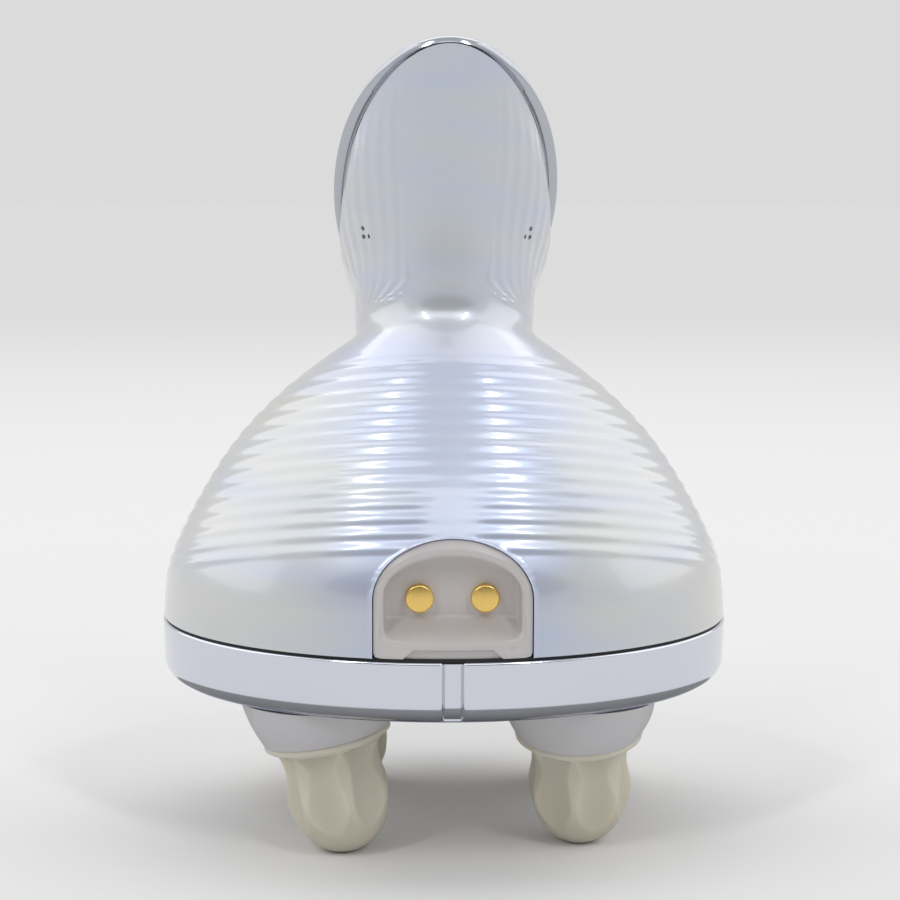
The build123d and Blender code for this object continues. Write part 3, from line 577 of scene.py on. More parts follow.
class BuildShell(bpy.types.Operator):
    """Builds the ridged pearl shell, with the bay's opening and the vents"""
    bl_idname = "massager.shell"
    bl_label = "Shell"

    def execute(self, context):
        settings = context.scene.massager_shell
        form = shell_skin(SHELL_ROWS, SHELL_COLUMNS, 0)
        form.normal_update()
        angle = form.verts.layers.float["angle"]
        for vert in form.verts:
            sink = ridge_sink(vert.co, vert[angle], settings)
            vert.co -= vert.normal * (sink + bay_edge_sink(vert.co, settings.edge_rounding))
        trim_foot(form)
        wall = shell_skin(WALL_ROWS, WALL_COLUMNS, SHELL_WALL)
        trim_foot(wall)
        mesh = bpy.data.meshes.new("wall")
        wall.to_mesh(mesh)
        wall.free()
        form.from_mesh(mesh)
        bpy.data.meshes.remove(mesh)
        for loops in open_loops(form):
            bmesh.ops.triangle_fill(form, edges=loops, use_beauty=True, use_dissolve=False)
        bmesh.ops.recalc_face_normals(form, faces=form.faces)
        material = pearl_lacquer("pearl_lacquered_abs", settings.pearl, settings.pearl_tone_and_sheen)
        piece = put("ridged_shell", form, "housing", material, ["outer_shell"])
        openings = bmesh.new()
        arch_prism(openings, BAY_HALF_WIDTH, BAY_TOP, BAY_ARCH, SHELL_BOTTOM - 4 * MM,
                   -BASE_HALF_DEPTH * 1.2, -BASE_HALF_DEPTH * 0.5)
        for side in (-1, 1):
            for x, z in VENTS:
                slope = (shell_rear(x + SLOPE_STEP, z) - shell_rear(x - SLOPE_STEP, z)) / (2 * SLOPE_STEP)
                bmesh.ops.create_cone(openings, cap_ends=True, segments=20, radius1=VENT_RADIUS,
                                      radius2=VENT_RADIUS, depth=2 * VENT_DEPTH,
                                      matrix=Matrix.Translation((side * x, shell_rear(x, z), z))
                                      @ Matrix.Rotation(side * math.atan(slope), 4, "Z")
                                      @ Matrix.Rotation(math.pi / 2, 4, "X"))
        cut(piece, openings)
        return {"FINISHED"}


BAY_GAP = 0.15 * MM
BAY_SUNK = 0.06 * MM
BAY_BEVEL = 0.2 * MM
BAY_CROWN = 0.5 * MM
BAY_CROWN_RISE = (48 * MM, 60 * MM)
BAY_INNER_TOP = 60.9 * MM
BAY_INNER_ARCH = 7.0 * MM
BAY_SILL = 45.9 * MM
BAY_RAMP = 3.4 * MM
BAY_LIP = 1.3 * MM
BAY_SEGMENTS = 128
NOTCH_HALF_WIDTH = 9.4 * MM
NOTCH_TAPER = 2.2 * MM
NOTCH_HEIGHT = 2.1 * MM
NOTCH_DEPTH = 0.9 * MM
NOTCH_OVERSHOOT = 0.3 * MM


class BuildBay(bpy.types.Operator):
    """Builds the charging bay's insert and its two contacts"""
    bl_idname = "massager.bay"
    bl_label = "Charging bay"

    def execute(self, context):
        form = bmesh.new()
        front = {}

        def surface(x, z):
            key = (round(x, 6), round(z, 6))
            if key not in front:
                front[key] = shell_rear(x, z)
            return front[key]

        def floor(x, z):
            ramp = min(max((BAY_SILL + BAY_RAMP - z) / BAY_RAMP, 0), 1)
            return BAY_BACK + (surface(x, z) - BAY_BACK) * ramp ** 1.4

        outer = (BAY_HALF_WIDTH - BAY_GAP, BAY_TOP - BAY_GAP, BAY_ARCH - BAY_GAP, SHELL_BOTTOM)
        inner = (outer[0] - BAY_FRAME, BAY_INNER_TOP, BAY_INNER_ARCH, BAY_SILL)

        # A ring lies between the frame's outer outline, at a share of 0, and the recess's, at 1
        def ring(share, inset, depth, absolute=None):
            half_width, top, rise, bottom = (
                (1 - share) * a + share * b for a, b in zip(outer, inner))
            arch = (half_width - inset, top - inset, rise - inset * 0.6, bottom + inset)
            made = bmesh.ops.create_circle(form, cap_ends=False, segments=BAY_SEGMENTS, radius=1)["verts"]
            for vert in made:
                x, z = arch_point(vert.co, *arch, 30 - 20 * share)
                raised = BAY_CROWN * share * fade(z, *BAY_CROWN_RISE)
                y = absolute(x, z) if absolute else surface(x, z) + depth - raised
                vert.co = (x, min(y, floor(x, z)) if share == 1 and not absolute else y, z)
            return [edge for edge in form.edges if edge.verts[0] in set(made)]

        rings = [ring(0, 0, 0, lambda x, z: BAY_BACK + BAY_BACK_WALL), ring(0, 0, 0.25 * MM)]
        rings += [ring(share, BAY_BEVEL * (1 - share), BAY_SUNK) for share in (0, 0.3, 0.6)]
        for step in range(7):
            turn = step / 6 * math.pi / 2
            rings.append(ring(1, -BAY_LIP * (1 - math.sin(turn)), BAY_SUNK + BAY_LIP * (1 - math.cos(turn))))
        # The recess's wall rounds into its floor
        for inset, rise in ((0, 0.7 * MM), (0.2 * MM, 0.25 * MM)):
            rings.append(ring(1, inset, 0, lambda x, z: max(
                floor(x, z) - rise, min(surface(x, z) + BAY_SUNK + BAY_LIP, floor(x, z)))))
        rings += [ring(1, inset * MM, 0, floor) for inset in (0.7, 1.2, 1.7, 2.2, 2.7, 3.2, 3.8)]
        for before, after in zip(rings, rings[1:]):
            bmesh.ops.bridge_loops(form, edges=before + after)
        bmesh.ops.holes_fill(form, edges=rings[0] + rings[-1], sides=0)
        bmesh.ops.recalc_face_normals(form, faces=form.faces)
        settings = context.scene.massager_shell
        # Moulded ABS: warm grey, with a soft gloss
        grey = moulding("moulded_grey_abs", settings.bay_grey, linear("#CAC6C8"), 0.3)
        piece = put("bay_insert", form, "housing", grey, ["charging_bay"], crease=45)

        notch = bmesh.new()
        bmesh.ops.create_grid(notch, x_segments=24, y_segments=10, size=1)
        for vert in notch.verts:
            up = (vert.co.y + 1) / 2
            x = vert.co.x * (NOTCH_HALF_WIDTH - NOTCH_TAPER * up)
            z = SHELL_BOTTOM + NOTCH_HEIGHT * up - NOTCH_OVERSHOOT
            vert.co = (x, surface(x, z) + BAY_SUNK + NOTCH_DEPTH * (1 - fade(up, 0.8, 1.02)), z)
        raised = bmesh.ops.extrude_face_region(notch, geom=notch.faces[:])["geom"]
        for item in raised:
            if isinstance(item, bmesh.types.BMVert):
                item.co.y = -BASE_HALF_DEPTH - 1 * MM
        cut(piece, notch)

        # Gold plating on turned brass: yellow and a little hazed
        gold = plating("gold_plated_brass", context.scene.massager_metal.gold, 0.28, 0.25 * MM, 0.006 * MM)
        for side, node in ((-1, "charge_contact_left"), (1, "charge_contact_right")):
            pin = turned(rounded([(0, CONTACT_PROUD, 0), (CONTACT_RADIUS, CONTACT_PROUD, 0.35 * MM),
                                  (CONTACT_RADIUS, 0, 0), (0, 0, 0)], 3), 64)
            place = Matrix.Translation((side * CONTACT_SPACING / 2, BAY_BACK, CONTACT_HEIGHT))
            bmesh.ops.transform(pin, verts=pin.verts, matrix=place @ Matrix.Rotation(math.pi / 2, 4, "X"))
            put(f"{node}_pin", pin, "housing", gold, [node])
        return {"FINISHED"}


RIM_GROOVE = 0.35 * MM
RIM_FLARE = 1.5 * MM
RIM_SKIRT = 0.8 * MM
BAND_TAPER = 0.5 * MM
# Places across the channel are shares of its half width. A broad shoulder leads to its steep wall.
CHANNEL_SHOULDER = 1.3
CHANNEL_WALL = 0.78
SHOULDER_DEPTH = 0.35
CHANNEL_CUTS = (0.6, 0.78, 0.83, 0.88, 0.92, 0.96, 1.0, 1.04, 1.08, 1.12, 1.16, 1.2, 1.25, 1.3, 1.4)


class BuildBand(bpy.types.Operator):
    """Builds the chrome base band with its rear channel, and the rim of the oval face"""
    bl_idname = "massager.band"
    bl_label = "Chrome band and rim"

    def execute(self, context):
        settings = context.scene.massager_metal
        # Chrome plating on moulded ABS: nearly a mirror, which long faint waves bend
        chrome = plating("chrome_plated_abs", settings.chrome, 0.13, 12 * MM, 0.02 * MM)
        profile = rounded([
            (BASE_HALF_WIDTH, BAND_TOP, settings.band_edge),
            (BASE_HALF_WIDTH - BAND_TAPER, BAND_BOTTOM, settings.band_rounding),
            (BASE_HALF_WIDTH - BAND_WALL, BAND_BOTTOM, 0.2 * MM),
            (BASE_HALF_WIDTH - BAND_WALL, BAND_TOP, 0)], 10)
        band = turned(profile, 256, closed=True)
        oval(band, BASE_HALF_WIDTH, BASE_HALF_DEPTH)
        half_width = settings.channel_width / 2
        for share in CHANNEL_CUTS:
            for side in (-1, 1):
                rear = [item for item in band.faces if item.calc_center_median().y < -BASE_HALF_DEPTH * 0.8]
                geometry = rear + list({edge for face in rear for edge in face.edges})
                geometry += list({vert for face in rear for vert in face.verts})
                bmesh.ops.bisect_plane(band, geom=geometry, plane_co=(side * share * half_width, 0, 0),
                                       plane_no=(1, 0, 0), dist=1e-7)
        for vert in band.verts:
            if vert.co.y < -(BASE_HALF_DEPTH - BAND_WALL + BAND_TAPER):
                place = abs(vert.co.x) / half_width
                rise = min(max((CHANNEL_SHOULDER - place) / (CHANNEL_SHOULDER - 1), 0), 1) ** 2
                wall = 1 - fade(place, CHANNEL_WALL, 1)
                vert.co.y += settings.channel_depth * (SHOULDER_DEPTH * rise + (1 - SHOULDER_DEPTH) * wall)
        put("chrome_band", band, "housing", chrome, ["base_band"])

        inner = FACE_HALF_WIDTH - RIM_WIDTH
        skirt = FACE_HALF_WIDTH - RIM_SKIRT
        ledge = inner - LEDGE_WIDTH
        flare = [(FACE_HALF_WIDTH, RIM_GROOVE + (RIM_FLARE - RIM_GROOVE) * step / 8, 0) for step in range(9)]
        rim = turned(rounded([
            (skirt, 0, 0), (skirt, RIM_GROOVE, 0), *flare, (FACE_HALF_WIDTH, RIM_HEIGHT, 0.7 * MM),
            (inner, RIM_HEIGHT, 0.35 * MM), (inner, LEDGE_HEIGHT, 0),
            (ledge, LEDGE_HEIGHT, 0), (ledge, 0, 0)], 8), 224, closed=True)
        for vert in rim.verts:
            radius = math.hypot(vert.co.x, vert.co.y)
            if radius > inner and vert.co.z < RIM_FLARE:
                tuck = min((RIM_FLARE - vert.co.z) / (RIM_FLARE - RIM_GROOVE), 1) ** 1.6
                around = math.atan2(abs(vert.co.x), vert.co.y)
                side = RIM_SIDE_OVERHANG / FACE_HALF_WIDTH + handle_taper(around, FACE_HEIGHT)
                vert.co.x *= 1 - side * tuck
                vert.co.y -= vert.co.y / radius * RIM_END_OVERHANG * tuck
        oval(rim, FACE_HALF_WIDTH, FACE_HALF_LENGTH)
        bmesh.ops.transform(rim, verts=rim.verts, matrix=FACE_FRAME)
        # Chrome plating on moulded ABS, as smooth as the band's but painted a darker grey: painted shade on
        # the rim
        grey = plating("dark_chrome_plated_abs", settings.rim, 0.12, 8 * MM, 0.01 * MM)
        put("chrome_rim", rim, "housing", grey, ["face_rim"])
        return {"FINISHED"}


PANEL_GAP = 0.15 * MM
PANEL_HOLE = 9.75 * MM
PANEL_SHARES = (0, 0.02, 0.06, 0.15, 0.3, 0.5, 0.7, 0.85, 0.96, 1.0)
RING_BOTTOM = -0.4 * MM
RING_TOP = 2.1 * MM
RING_INNER = 8.15 * MM
RING_OUTER = 9.6 * MM
RING_FLANGE = 10.9 * MM
BUTTON_TOP = 2.9 * MM
BUTTON_SKIRT = -0.55 * MM
BUTTON_BOTTOM = -1.35 * MM
BUTTON_FLANGE = 9.0 * MM
STEM_RADIUS = 2.0 * MM
STEM_BOTTOM = -1.5 * MM
DISH_RADIUS = 6.4 * MM


class BuildFace(bpy.types.Operator):
    """Builds the oval face's panel, light ring and push button"""
    bl_idname = "massager.face"
    bl_label = "Face"

    def execute(self, context):
        settings = context.scene.massager_shell
        half_width = FACE_HALF_WIDTH - RIM_WIDTH - PANEL_GAP
        half_length = FACE_HALF_LENGTH - RIM_WIDTH - PANEL_GAP
        # The panel's radius of 2 becomes the oval outline, and its radius of 1 the button's round hole
        falls = [0.3 * MM * (1 - fade(share, 0, 0.06)) + 0.15 * MM * fade(share, 0.96, 1)
                 for share in PANEL_SHARES]
        profile = [(2 - share, RIM_HEIGHT - fall) for share, fall in zip(PANEL_SHARES, falls)]
        panel = turned(profile + [(1, LEDGE_HEIGHT), (2, LEDGE_HEIGHT)], 128, closed=True)
        for vert in panel.verts:
            radius = math.hypot(vert.co.x, vert.co.y)
            across, along = vert.co.x / radius, vert.co.y / radius
            outside = Vector((half_width * across, half_length * along, vert.co.z))
            inside = Vector((PANEL_HOLE * across, PANEL_HOLE * along + BUTTON_OFFSET, vert.co.z))
            vert.co = outside.lerp(inside, 2 - radius)
        bmesh.ops.recalc_face_normals(panel, faces=panel.faces)
        bmesh.ops.transform(panel, verts=panel.verts, matrix=FACE_FRAME)
        pearl = pearl_lacquer("gloss_pearl_panel", settings.pearl, settings.pearl_tone_and_sheen)
        put("oval_panel", panel, "housing", pearl, ["face_panel"])

        place = FACE_FRAME @ Matrix.Translation((0, BUTTON_OFFSET, 0))
        ring = turned(rounded([
            (RING_INNER, RING_BOTTOM, 0), (RING_INNER, RING_TOP, 0.3 * MM), (RING_OUTER, RING_TOP, 0.3 * MM),
            (RING_OUTER, LEDGE_HEIGHT, 0), (RING_FLANGE, LEDGE_HEIGHT, 0),
            (RING_FLANGE, RING_BOTTOM, 0)], 4), 128, closed=True)
        bmesh.ops.transform(ring, verts=ring.verts, matrix=place)
        # Milky polycarbonate: light spreads inside it, so that its edges look soft
        milky = moulding("milky_polycarbonate", linear("#E4E6E8"), linear("#DADCE2"), 0.35,
                         **{"Subsurface Weight": 0.4, "Subsurface Radius": (0.004, 0.004, 0.004),
                            "Subsurface Scale": 1.0})
        put("glow_ring", ring, "housing", milky, ["light_ring"])

        corners = [(DISH_RADIUS * share, BUTTON_TOP - BUTTON_DISH * (1 - share ** 2), 0)
                   for share in (0, 0.25, 0.5, 0.75, 1)]
        corners += [(BUTTON_RADIUS, BUTTON_TOP, 0.5 * MM), (BUTTON_RADIUS, BUTTON_SKIRT, 0),
                    (BUTTON_FLANGE, BUTTON_SKIRT, 0), (BUTTON_FLANGE, BUTTON_BOTTOM, 0),
                    (STEM_RADIUS, BUTTON_BOTTOM, 0), (STEM_RADIUS, STEM_BOTTOM, 0), (0, STEM_BOTTOM, 0)]
        button = turned(rounded(corners, 5), 128)
        bmesh.ops.transform(button, verts=button.verts, matrix=place)
        cap = pearl_lacquer("pearl_button_cap", settings.pearl, settings.pearl_tone_and_sheen)
        put("push_button", button, "button", cap, ["power_button"])
        return {"FINISHED"}


DOME_STEPS = 24
DOME_SEGMENTS = 128
HEAD_SEGMENTS = 168
SIDE_STEPS = 56
TIP_STEPS = 16
FLANGE_EDGE = 0.75 * MM
FLUTE_START = (1.9 * MM, 2.5 * MM)
FLUTE_SOFTNESS = 0.2 * MM
# A silicone head's side: depths below the flange's upper face, and the radius at each
HEAD_SIDE = [(1.2 * MM, 12.1 * MM), (1.6 * MM, 11.4 * MM), (2.4 * MM, 10.5 * MM), (3.6 * MM, 9.85 * MM),
             (5.9 * MM, 9.3 * MM), (9.0 * MM, 9.65 * MM), (12.2 * MM, 10.25 * MM)]


class BuildHeads(bpy.types.Operator):
    """Builds the four rotor domes and their fluted silicone heads"""
    bl_idname = "massager.heads"
    bl_label = "Massage heads"

    def execute(self, context):
        settings = context.scene.massager_heads
        # Moulded ABS: white, with a soft gloss
        plastic = moulding("moulded_white_abs", settings.plastic, linear("#C6C4C8"), 0.34)
        # Translucent silicone: light spreads inside it, under a dull and faintly uneven skin
        silicone = moulding("translucent_silicone", settings.silicone, linear("#CFCAB8"), 0.42, 1.2 * MM,
                            0.02 * MM, **{"Subsurface Weight": 0.6, "Subsurface Scale": 1.0,
                                          "Subsurface Radius": (0.005, 0.0045, 0.0035),
                                          "Coat Weight": 0.1, "Coat Roughness": 0.3})
        for corner, (x, y, lean) in HEADS.items():
            put(f"dome_{corner}", self.dome(settings, (x, y), lean), f"{corner}_rotor",
                plastic, [f"rotor_dome_{corner}"])
            put(f"silicone_{corner}", self.head(settings, (x, y), lean), f"{corner}_rotor",
                silicone, [f"massage_head_{corner}"], crease=50)
        return {"FINISHED"}

    def dome(self, settings, place, lean):
        """Makes the dome, whose rings tilt and shrink from its flat top to the flange."""
        profile = [(0, 0)] + [(1, step / DOME_STEPS) for step in range(DOME_STEPS + 1)] + [(0, 1)]
        form = turned(profile, DOME_SEGMENTS)
        shares = (0.0, 0.5, 1.0)
        radius = natural_curve(shares, (ROTOR_TOP_RADIUS, ROTOR_MIDDLE_RADIUS, settings.flange_radius))
        fall = (ROTOR_TOP - settings.flange_height) / 2
        slant = math.tan(settings.tilt)
        reach = natural_curve(shares, (0.0, (HEAD_PIVOT_HEIGHT - settings.flange_height - fall) * slant,
                                       (HEAD_PIVOT_HEIGHT - settings.flange_height) * slant))
        leaning = Matrix.Rotation(lean, 3, "Z")
        for vert in form.verts:
            share = vert.co.z
            height = ROTOR_TOP + (settings.flange_height - ROTOR_TOP) * share
            across = leaning @ Vector((reach(share), 0, 0))
            tilted = leaning @ Matrix.Rotation(-settings.tilt * share, 3, "Y") @ leaning.inverted()
            flat = tilted @ Vector((vert.co.x, vert.co.y, 0)) * radius(share)
            vert.co = Vector((*place, height)) + across + flat
        bmesh.ops.recalc_face_normals(form, faces=form.faces)
        return form

    def head(self, settings, place, lean):
        """Makes the silicone head: a thin flange, a waist, hollow flutes and a round tip."""
        flange = settings.flange_radius
        tip_drop = (settings.flange_height + TIP_FLAT - TIP_RADIUS) / math.cos(settings.tilt)
        rows = [(FLANGE_EDGE, flange), *HEAD_SIDE,
                (tip_drop + TIP_RADIUS * math.sin(TIP_START), TIP_RADIUS * math.cos(TIP_START))]
        side = natural_curve(*zip(*rows))
        run = rows[-1][0] - FLANGE_EDGE
        depths = [FLANGE_EDGE + run * step / SIDE_STEPS for step in range(SIDE_STEPS)]
        profile = [(0, 0), (flange - 0.4 * MM, 0), (flange - 0.1 * MM, 0.1 * MM), (flange, 0.4 * MM)]
        profile += [(side(depth), depth) for depth in depths]
        for step in range(TIP_STEPS):
            turn = TIP_START + (math.pi / 2 - TIP_START) * step / TIP_STEPS
            profile.append((TIP_RADIUS * math.cos(turn), tip_drop + TIP_RADIUS * math.sin(turn)))
        profile.append((0, tip_drop + TIP_RADIUS))
        form = turned([(radius, -depth) for radius, depth in profile], HEAD_SEGMENTS)
        centre = settings.flute_reach + settings.flute_radius
        step = FULL_TURN / settings.flute_count
        for vert in form.verts:
            radius = math.hypot(vert.co.x, vert.co.y)
            angle = math.atan2(vert.co.y, vert.co.x)
            off = (angle + step / 2) % step - step / 2
            reach = settings.flute_radius ** 2 - (centre * math.sin(off)) ** 2
            share = fade(-vert.co.z, *FLUTE_START)
            if reach > 0 and share > 0 and radius > 0:
                gap = radius - (centre * math.cos(off) - math.sqrt(reach))
                soft = FLUTE_SOFTNESS
                sunk = (gap + math.sqrt(gap * gap + soft * soft)) / 2 - soft / 2 if gap > -2 * soft else 0
                kept = 1 - max(sunk, 0) * share / radius
                vert.co.x *= kept
                vert.co.y *= kept
        # The frame across the head's leaning axis at the flange's height
        offset = (HEAD_PIVOT_HEIGHT - settings.flange_height) * math.tan(settings.tilt)
        leaning = Matrix.Rotation(lean, 4, "Z")
        frame_across = (Matrix.Translation((*place, settings.flange_height)) @ leaning
                        @ Matrix.Translation((offset, 0, 0)) @ Matrix.Rotation(-settings.tilt, 4, "Y"))
        bmesh.ops.transform(form, verts=form.verts, matrix=frame_across)
        for vert in form.verts:
            vert.co.z = max(vert.co.z, 0.0)
        bmesh.ops.recalc_face_normals(form, faces=form.faces)
        return form


# Each moulded finish: its name, two colours, roughness, grain and grain depth in millimetres, and nodes
MOULDED = [
    # Silicone rubber: deep black and matt
    ("black_silicone_rubber", "#121214", "#1B1B1E", 0.7, 0.5, 0.008, ["seam_gasket", "shaft_seals"]),
    # Unfilled acetal: milky, with a soft gloss
    ("natural_acetal", "#E6E4DC", "#DDDBD2", 0.32, 0.3, 0.008,
     ["sun_gear", "idler_gear", "motor_pinion"] + [f"head_gear_{corner}" for corner in HEADS]),
    # Filled nylon: dark grey, with a dull grain
    ("dark_nylon", "#33353A", "#2A2C30", 0.5, 0.25, 0.008,
     ["gear_plate", "battery_cradle", "motor_end_cap", "tact_switch", "switch_plunger"]),
    # Glass and resin under solder mask: green, with the weave showing faintly
    ("green_fr4_laminate", "#1F5B3A", "#1A4E32", 0.35, 0.9, 0.008,
     ["contact_board", "main_board", "button_board"]),
    # Moulded epoxy: black, with a fine matt grain
    ("black_moulded_epoxy", "#1C1C1E", "#26262A", 0.45, 0.2, 0.008, ["board_components"]),
    # Extruded vinyl: black, with a dull gloss
    ("black_pvc_sheath", "#18181A", "#202024", 0.5, 0.4, 0.008, ["button_cable", "charge_cable"]),
    # Vinyl shrunk round the cell: blue and glossy, with shallow waves
    ("blue_pvc_shrink_wrap", "#2F5F9E", "#2A568F", 0.3, 2.0, 0.02, ["battery_cell"]),
]
# Each metal finish: its name, colour, roughness, wave length and depth in millimetres, and nodes
METALS = [
    # Ground steel: bright grey, with fine marks
    ("ground_steel", "#B9BABC", 0.22, 0.12, 0.004,
     ["sun_axle", "idler_axle", "motor_shaft"] + [f"spindle_{corner}" for corner in HEADS]),
    # Zinc plating: paler and a little hazed
    ("zinc_plated_steel", "#BFC3C6", 0.3, 0.3, 0.006, ["gear_plate_screws", "case_screws", "motor_screws"]),
    # Nickel plating on a drawn can: warm grey, with long soft waves
    ("nickel_plated_can", "#B4B2AC", 0.3, 1.5, 0.01, ["motor_can", "motor_armature"]),
]


def dress(material, nodes):
    """Gives solids of the frame a finish."""
    for node in nodes:
        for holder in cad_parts[node].material_slots:
            holder.material = material


class DressInside(bpy.types.Operator):
    """Gives the gasket, the base plate and the inner pieces their finishes"""
    bl_idname = "massager.inside"
    bl_label = "Inside"

    def execute(self, context):
        plastic = context.scene.massager_heads.plastic
        # Moulded ABS: white, with a soft gloss
        dress(moulding("moulded_white_abs_base", plastic, linear("#C6C4C8"), 0.36), ["base_plate"])
        # Bronze pressed from powder: brown gold, with a fine grain
        bronze = moulding("sintered_bronze", linear("#9A7440"), linear("#8A6636"), 0.45, 0.15 * MM,
                          0.01 * MM, Metallic=1.0)
        dress(bronze, ["lower_bushes", "upper_bushes"])
        for name, light, shade, roughness, grain, depth, nodes in MOULDED:
            dress(moulding(name, linear(light), linear(shade), roughness, grain * MM, depth * MM), nodes)
        for name, tint, roughness, wave, depth, nodes in METALS:
            dress(plating(name, linear(tint), roughness, wave * MM, depth * MM), nodes)
        return {"FINISHED"}


FLOOR_RADIUS = 12.0
CAMERA_PLACE = Vector((-0.0146, -0.4197, 0.1279))
CAMERA_AIM = Vector((0.0369, 0.9912, -0.1259))
CAMERA_ROLL = math.radians(0.2)
# Each lamp's name, place, target, width, height, and the setting of its power
LAMPS = [
    ("overhead", (0.0, 0.35, 1.25), (0, 0, 0.05), 1.6, 1.1, "key"),
    ("left_strip", (-0.66, -0.8, 0.94), (0, 0, 0.08), 0.12, 0.57, "strip"),
    ("right_strip", (0.55, -0.85, 0.94), (0, 0, 0.08), 0.12, 0.57, "strip"),
    ("left_softbox", (-0.95, 0.15, 0.6), (0, 0, 0.05), 1.4, 1.1, "side"),
    ("right_softbox", (0.95, 0.15, 0.6), (0, 0, 0.05), 1.4, 1.1, "side"),
]
# Each card's name, the depth and height of its lower and upper edge, its half width, colour and glow
CARDS = [
    # A grey disc round the massager that only the gloss shows: a painted shadow under the body
    ("floor_card", (-0.098, 0.001), (0.098, 0.001), 0.1, "#969696", 0.0),
    # A dark card behind the camera that only the gloss shows: a painted dark reflection
    ("low_card", (-1.1, 0.05), (-1.1, 0.6), 1.1, "#1A1A1A", 0.0),
    # A glowing card behind the camera that only the gloss shows, though it is no lamp: a painted bright
    # reflection
    ("rear_card", (-1.15, 0.62), (-1.15, 1.45), 0.6, "#000000", 1.8),
]


def aimed(place, direction):
    """Gives the matrix of a lamp or a camera that looks along a direction."""
    return Matrix.Translation(place) @ direction.to_track_quat("-Z", "Y").to_matrix().to_4x4()


def stage_disc(name, near, far, half_width, segments, material):
    """Makes a round face of the stage from the depth and height of its lower and its upper edge."""
    form = bmesh.new()
    bmesh.ops.create_circle(form, cap_ends=True, segments=segments, radius=1)
    for vert in form.verts:
        y, z = Vector(near).lerp(Vector(far), (vert.co.y + 1) / 2)
        vert.co = (vert.co.x * half_width, y, z)
    mesh = bpy.data.meshes.new(name)
    form.to_mesh(mesh)
    form.free()
    mesh.materials.append(material)
    disc = bpy.data.objects.new(name, mesh)
    bpy.context.scene.collection.objects.link(disc)
    return disc


def ray_share(tree, *kinds):
    """Gives 1 for rays of any of the kinds, and 0 for all others."""
    path = add_node(tree, "ShaderNodeLightPath", {})
    share = path.outputs[kinds[0]]
    for kind in kinds[1:]:
        share = add_node(tree, "ShaderNodeMath", {0: share, 1: path.outputs[kind]},
                         operation="MAXIMUM").outputs["Value"]
    return share


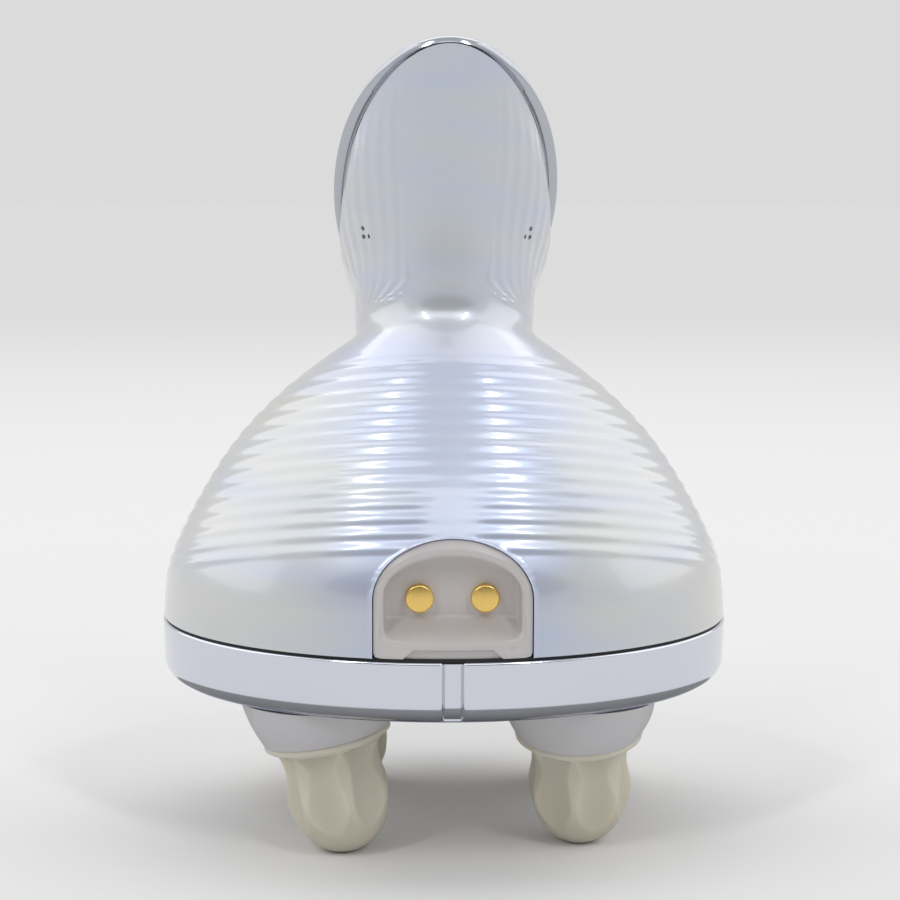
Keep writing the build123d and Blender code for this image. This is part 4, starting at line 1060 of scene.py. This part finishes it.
class BuildStage(bpy.types.Operator):
    """Builds the pale floor, the soft lamps, the background and the camera"""
    bl_idname = "massager.stage"
    bl_label = "Stage"

    def execute(self, context):
        settings = context.scene.massager_stage
        stage_disc("pale_floor", (-FLOOR_RADIUS, 0), (FLOOR_RADIUS, 0), FLOOR_RADIUS, 96,
                   self.painted_board(settings.floor))
        for name, spot, aim, width, height, power in LAMPS:
            light = bpy.data.lights.new(name, "AREA")
            light.shape, light.size, light.size_y = "RECTANGLE", width, height
            light.energy = getattr(settings, power)
            lamp = bpy.data.objects.new(name, light)
            lamp.matrix_world = aimed(spot, Vector(aim) - Vector(spot))
            context.scene.collection.objects.link(lamp)
        self.cards()
        context.scene.world = self.background()
        context.scene.view_settings.view_transform = "Standard"
        data = bpy.data.cameras.new("camera")
        data.lens = settings.lens
        data.sensor_width = 36
        camera = bpy.data.objects.new("camera", data)
        camera.matrix_world = aimed(CAMERA_PLACE, CAMERA_AIM) @ Matrix.Rotation(CAMERA_ROLL, 4, "Z")
        context.scene.collection.objects.link(camera)
        context.scene.camera = camera
        return {"FINISHED"}

    def painted_board(self, tint):
        """Board with a matt coat of paint: even and without gloss, and it keeps the shadows near it."""
        material, tree, shader, place = finish("matt_painted_board", {
            "Base Color": tint, "Roughness": 0.75, "Specular IOR Level": 0.2})
        # Far from the massager the floor is seen as pale as the background, so that no horizon shows.
        # Further out the glow dims a little: a painted fall-off of the light.
        away = add_node(tree, "ShaderNodeVectorMath", {0: place}, operation="LENGTH").outputs["Value"]
        far = add_node(tree, "ShaderNodeMapRange", {"Value": away, "From Min": 0.07, "From Max": 0.36,
                                                    "To Min": 0.0}, interpolation_type="SMOOTHSTEP")
        paler = add_node(tree, "ShaderNodeMapRange", {
            "Value": away, "From Min": 0.35, "From Max": 1.8, "To Min": 0.87, "To Max": 0.72},
            interpolation_type="SMOOTHSTEP")
        seen = ray_share(tree, "Is Camera Ray", "Is Glossy Ray")
        share = add_node(tree, "ShaderNodeMath", {0: seen, 1: far.outputs["Result"]}, operation="MULTIPLY")
        glow = add_node(tree, "ShaderNodeEmission", {
            "Color": (1, 1, 1, 1), "Strength": paler.outputs["Result"]})
        mixed = add_node(tree, "ShaderNodeMixShader", {
            0: share.outputs["Value"], 1: shader.outputs["BSDF"], 2: glow.outputs["Emission"]})
        tree.links.new(mixed.outputs["Shader"], tree.nodes["Material Output"].inputs["Surface"])
        return material

    def cards(self):
        """Makes the cards on the floor and behind the camera, that only the gloss shows: a painted shadow on
        the floor, and painted dark and bright reflections behind the camera.
        """
        for name, near, far, half_width, code, strength in CARDS:
            paint = finish(f"{name}_paint", {
                "Base Color": linear(code), "Roughness": 0.9, "Emission Color": (1, 1, 1, 1),
                "Emission Strength": strength})[0]
            card = stage_disc(name, near, far, half_width, 64, paint)
            card.visible_camera = card.visible_shadow = card.visible_diffuse = False

    def background(self):
        """Makes a pale world that lights the massager less brightly than it looks."""
        world = bpy.data.worlds.new("pale_studio")
        world.use_nodes = True
        tree = world.node_tree
        share = ray_share(tree, "Is Camera Ray", "Is Glossy Ray", "Is Transmission Ray")
        strength = add_node(tree, "ShaderNodeMapRange", {"Value": share, "To Min": 0.28, "To Max": 0.71})
        tree.nodes["Background"].inputs["Color"].default_value = (1, 1, 1, 1)
        tree.links.new(strength.outputs["Result"], tree.nodes["Background"].inputs["Strength"])
        return world


class MassagerPanel(bpy.types.Panel):
    """Lists the massager's settings and pieces"""
    bl_idname = "VIEW3D_PT_massager"
    bl_label = "Scalp massager"
    bl_space_type = "VIEW_3D"
    bl_region_type = "UI"
    bl_category = "Massager"

    def draw(self, context):
        for name, group in SETTINGS.items():
            box = self.layout.box()
            box.label(text=group.__doc__)
            for field in group.__annotations__:
                box.prop(getattr(context.scene, name), field)
        for operator in OPERATORS:
            self.layout.operator(operator.bl_idname)


SETTINGS = {"massager_shell": ShellSettings, "massager_metal": MetalSettings,
            "massager_heads": HeadSettings, "massager_stage": StageSettings}
OPERATORS = [BuildShell, BuildBay, BuildBand, BuildFace, BuildHeads, DressInside, BuildStage]


def register():
    for part in [*SETTINGS.values(), *OPERATORS, MassagerPanel]:
        bpy.utils.register_class(part)
    for name, group in SETTINGS.items():
        setattr(bpy.types.Scene, name, bpy.props.PointerProperty(type=group))


def unregister():
    for name in SETTINGS:
        delattr(bpy.types.Scene, name)
    for part in [MassagerPanel, *reversed(OPERATORS), *reversed(SETTINGS.values())]:
        bpy.utils.unregister_class(part)


def main():
    register()
    for operator in OPERATORS:
        group, name = operator.bl_idname.split(".")
        getattr(getattr(bpy.ops, group), name)()


if __name__ == "__main__":
    main()
